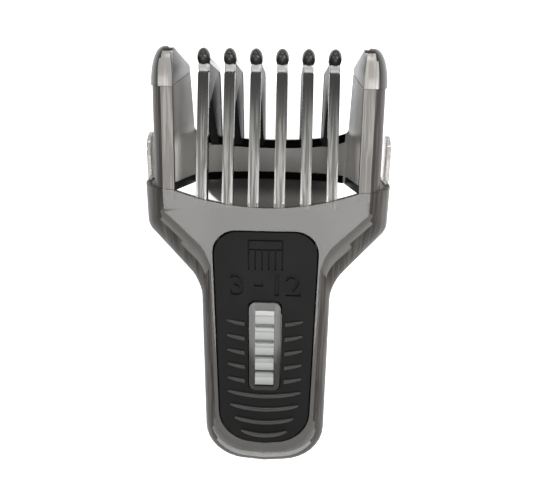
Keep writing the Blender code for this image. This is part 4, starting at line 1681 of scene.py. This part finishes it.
@dataclass
class LengthButton(SubAssembly):
    """The clear button: a framed block with ridges, and the wings and stem behind it."""

    wide: float = 6.3 * MM
    long: float = 20.1 * MM
    middle: float = -29.1 * MM
    pitch: float = 3.5 * MM
    proud: float = 1.0 * MM
    ridge_half: float = 1.9 * MM
    well_half: Point = (1.95 * MM, 9.1 * MM)
    back_top: float = -22.5 * MM
    neck_half: Point = (2.9 * MM, 9.2 * MM)
    neck_depths: Point = (-1.9 * MM, -1 * MM)
    wing_reach: Point = (2.2 * MM, 3.9 * MM)
    wing_half: float = 9.6 * MM
    wing_depths: Point = (-2.3 * MM, -1.7 * MM)
    stem_half: float = 1.2 * MM
    stem_span: Point = (-34.2 * MM, -31.8 * MM)
    stem_depths: Point = (-2.5 * MM, -1.5 * MM)

    def plan(
        self, name: str, spread: float, low: float, high: float, radius: float = 1.4 * MM
    ) -> bpy.types.Object:
        """Makes the button's rounded outline as a block.

        Args:
            name: The block's name.
            spread: Clearance round it.
            low: Where it starts along Z.
            high: Where it ends.
            radius: Corner radius.

        Returns:
            The block.
        """
        x, y = self.wide / 2 + spread, self.long / 2 + spread
        corners = [
            (x, self.middle - y, radius),
            (x, self.middle + y, radius),
            (-x, self.middle + y, radius),
            (-x, self.middle - y, radius),
        ]
        return extruded(name, rounded_path(corners), low, high)

    def _ridge(self) -> bpy.types.Object:
        """One ridge: a bar that climbs from its top edge and falls steeply at its crest."""
        depth = -0.5 * MM
        side = [
            (0.42 * self.pitch, depth, 0),
            (0.42 * self.pitch, 0.05 * MM, 0),
            (0.2 * self.pitch, 0.86 * self.proud, 0.45 * MM),
            (-0.3 * self.pitch, 0.92 * self.proud, 0.35 * MM),
            (-0.4 * self.pitch, 0.05 * MM, 0),
            (-0.4 * self.pitch, depth, 0),
        ]
        return extruded(
            "ridge", rounded_path(side, steps=5), -self.ridge_half, self.ridge_half, across=True
        )

    def build(self) -> None:
        """Makes the block, its ridges and what sits behind the panel."""
        button = self.plan("release_button", 0, -1.3 * MM, 0.5 * MM)
        bevelled(button, 0.35 * MM, segments=4, angle=50)
        half, reach = self.well_half
        well = block(
            "well", (-half, self.middle - reach, 0.0), (half, self.middle + reach, 2 * MM)
        )
        combine(button, well, Solver.CUT)
        half, reach = self.neck_half
        back, front = self.neck_depths
        parts = [block("neck", (-half, self.middle - reach, back), (half, self.back_top, front))]
        back, front = self.wing_depths
        for side in Side:
            low_x, high_x = limits(side, *self.wing_reach)
            parts.append(
                block("wing", (low_x, self.middle - self.wing_half, back), (high_x, self.back_top, front))
            )
        (low, high), (back, front) = self.stem_span, self.stem_depths
        parts.append(block("stem", (-self.stem_half, low, back), (self.stem_half, high, front)))
        for part in parts:
            combine(button, part, Solver.JOIN)
        self.settle(button, CLEAR, "button", "clear_polycarbonate", ("length_button",), sharp=40)
        # The ridges' pale tone is a painted highlight.
        shape = self._ridge()
        ridges = ridge_tree().grow(
            "button_ridges",
            shape=shape,
            count=5,
            first=self.middle + 2 * self.pitch - 0.4 * MM,
            pitch=self.pitch,
            finish=CLEAR_RIDGE.material(self.axes),
        )
        bpy.data.objects.remove(shape)
        self.settle(ridges, CLEAR_RIDGE, "button", "clear_polycarbonate", sharp=40)


@dataclass
class LatchWorks:
    """The rocker, its pin and the leaf spring, whose CAD shapes stay."""

    frame: dict
    axes: CombAxes

    def dress(self) -> None:
        """Gives each node its real material."""
        for node, finish in (("latch_lever", ACETAL), ("latch_pin", STEEL), ("return_spring", STEEL)):
            obj = self.frame["nodes"][node]
            obj.data.materials.clear()
            obj.data.materials.append(finish.material(self.axes))
            LOG.info("%s: dressed", node)


# ---------------------------------------------------------------- studio


@dataclass
class Studio:
    """A pale floor, soft light, and a camera straight above the comb."""

    axes: CombAxes
    height: float = 0.100
    aside: Point = (4.09 * MM, -4.83 * MM)
    lens: float = 35.47
    turn: float = radians(1.3)
    look_left: float = radians(1.52)
    look_down: float = radians(-1.6)

    def floor(self) -> None:
        """A plain white table top, lit a little from within so that it stays even."""
        bm = bmesh.new()
        bmesh.ops.create_grid(bm, x_segments=1, y_segments=1, size=1.5)
        floor = mesh_object("table_top", bm)
        finish = bpy.data.materials.new("white_table_top")
        finish.use_nodes = True
        shader = finish.node_tree.nodes["Principled BSDF"]
        shader.inputs["Base Color"].default_value = srgb("#f6f6f6")
        shader.inputs["Roughness"].default_value = 0.8
        shader.inputs["Specular IOR Level"].default_value = 0.2
        shader.inputs["Emission Color"].default_value = srgb("#ffffff")
        shader.inputs["Emission Strength"].default_value = 0.62
        floor.data.materials.append(finish)

    def _softbox(self, name: str, place: Point3, aim: Vector, size: Point, power: float) -> None:
        """Hangs a soft rectangular light.

        Args:
            name: The light's name.
            place: Where it hangs, from the comb's middle.
            aim: What it points at.
            size: Its width and length.
            power: Its power in watts.
        """
        light = bpy.data.lights.new(name, "AREA")
        light.shape = "RECTANGLE"
        light.size, light.size_y = size
        light.energy = power
        obj = bpy.data.objects.new(name, light)
        bpy.context.scene.collection.objects.link(obj)
        obj.location = place
        obj.rotation_euler = (Vector(aim) - Vector(place)).to_track_quat("-Z", "Y").to_euler()

    def light(self) -> None:
        """Sets the world and the softboxes."""
        scene = bpy.context.scene
        world = bpy.data.worlds.new("studio")
        scene.world = world
        world.use_nodes = True
        backdrop = world.node_tree.nodes["Background"]
        backdrop.inputs["Color"].default_value = srgb("#a8a8aa")
        backdrop.inputs["Strength"].default_value = 0.6
        aim = self.axes.origin
        self._softbox("front_panel", (0.0, -0.42, 0.60), aim, (0.90, 0.34), 3.0)
        self._softbox("right_strip", (0.40, 0.02, 0.42), aim, (0.12, 0.60), 2.6)
        self._softbox("left_strip", (-0.42, 0.06, 0.42), aim, (0.08, 0.50), 1.1)
        self._softbox("far_strip", (0.0, 0.46, 0.44), aim, (0.60, 0.10), 1.8)
        scene.view_settings.view_transform = "Standard"

    def camera(self) -> None:
        """Puts the camera above the rim, a little aside, and turned as it was held."""
        data = bpy.data.cameras.new("overhead")
        data.sensor_width = 36
        data.lens = self.lens
        data.clip_start = 0.005
        camera = bpy.data.objects.new("overhead", data)
        bpy.context.scene.collection.objects.link(camera)
        place = self.axes.origin + Vector((*self.aside, self.height))
        turned = (
            Matrix.Rotation(self.turn, 4, "Z")
            @ Matrix.Rotation(self.look_left, 4, "Y")
            @ Matrix.Rotation(self.look_down, 4, "X")
        )
        camera.matrix_world = Matrix.Translation(place) @ turned
        bpy.context.scene.camera = camera

    def build(self) -> None:
        """Sets up the whole studio."""
        self.floor()
        self.light()
        self.camera()


def corners(bounds: tuple) -> list[list[float]]:
    """Turns a box's two corners to plain lists."""
    return [list(map(float, corner)) for corner in bounds]


def main() -> None:
    """Builds every sub-assembly around the frame, in order."""
    logging.basicConfig(level=logging.INFO, format="%(name)s: %(message)s")
    for obj in list(bpy.data.objects):
        bpy.data.objects.remove(obj)
    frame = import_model()
    sizes = CombSizes()
    axes = CombAxes.from_frame(frame, sizes.pivot)
    Studio(axes).build()
    panel = ThumbPanel(axes, sizes)
    button = LengthButton(axes, sizes)
    Moulding(axes, sizes).build(panel.recess())
    Teeth(axes, sizes).build()
    for side in Side:
        GuardCap(axes, sizes, side).build()
    through = 4 * MM
    panel.build(
        button.plan("window", 0.25 * MM, -through, through),
        button.plan("rib_window", 0.9 * MM, -through, through),
    )
    button.build()
    LatchWorks(frame, axes).dress()


if __name__ == "__main__":
    main()
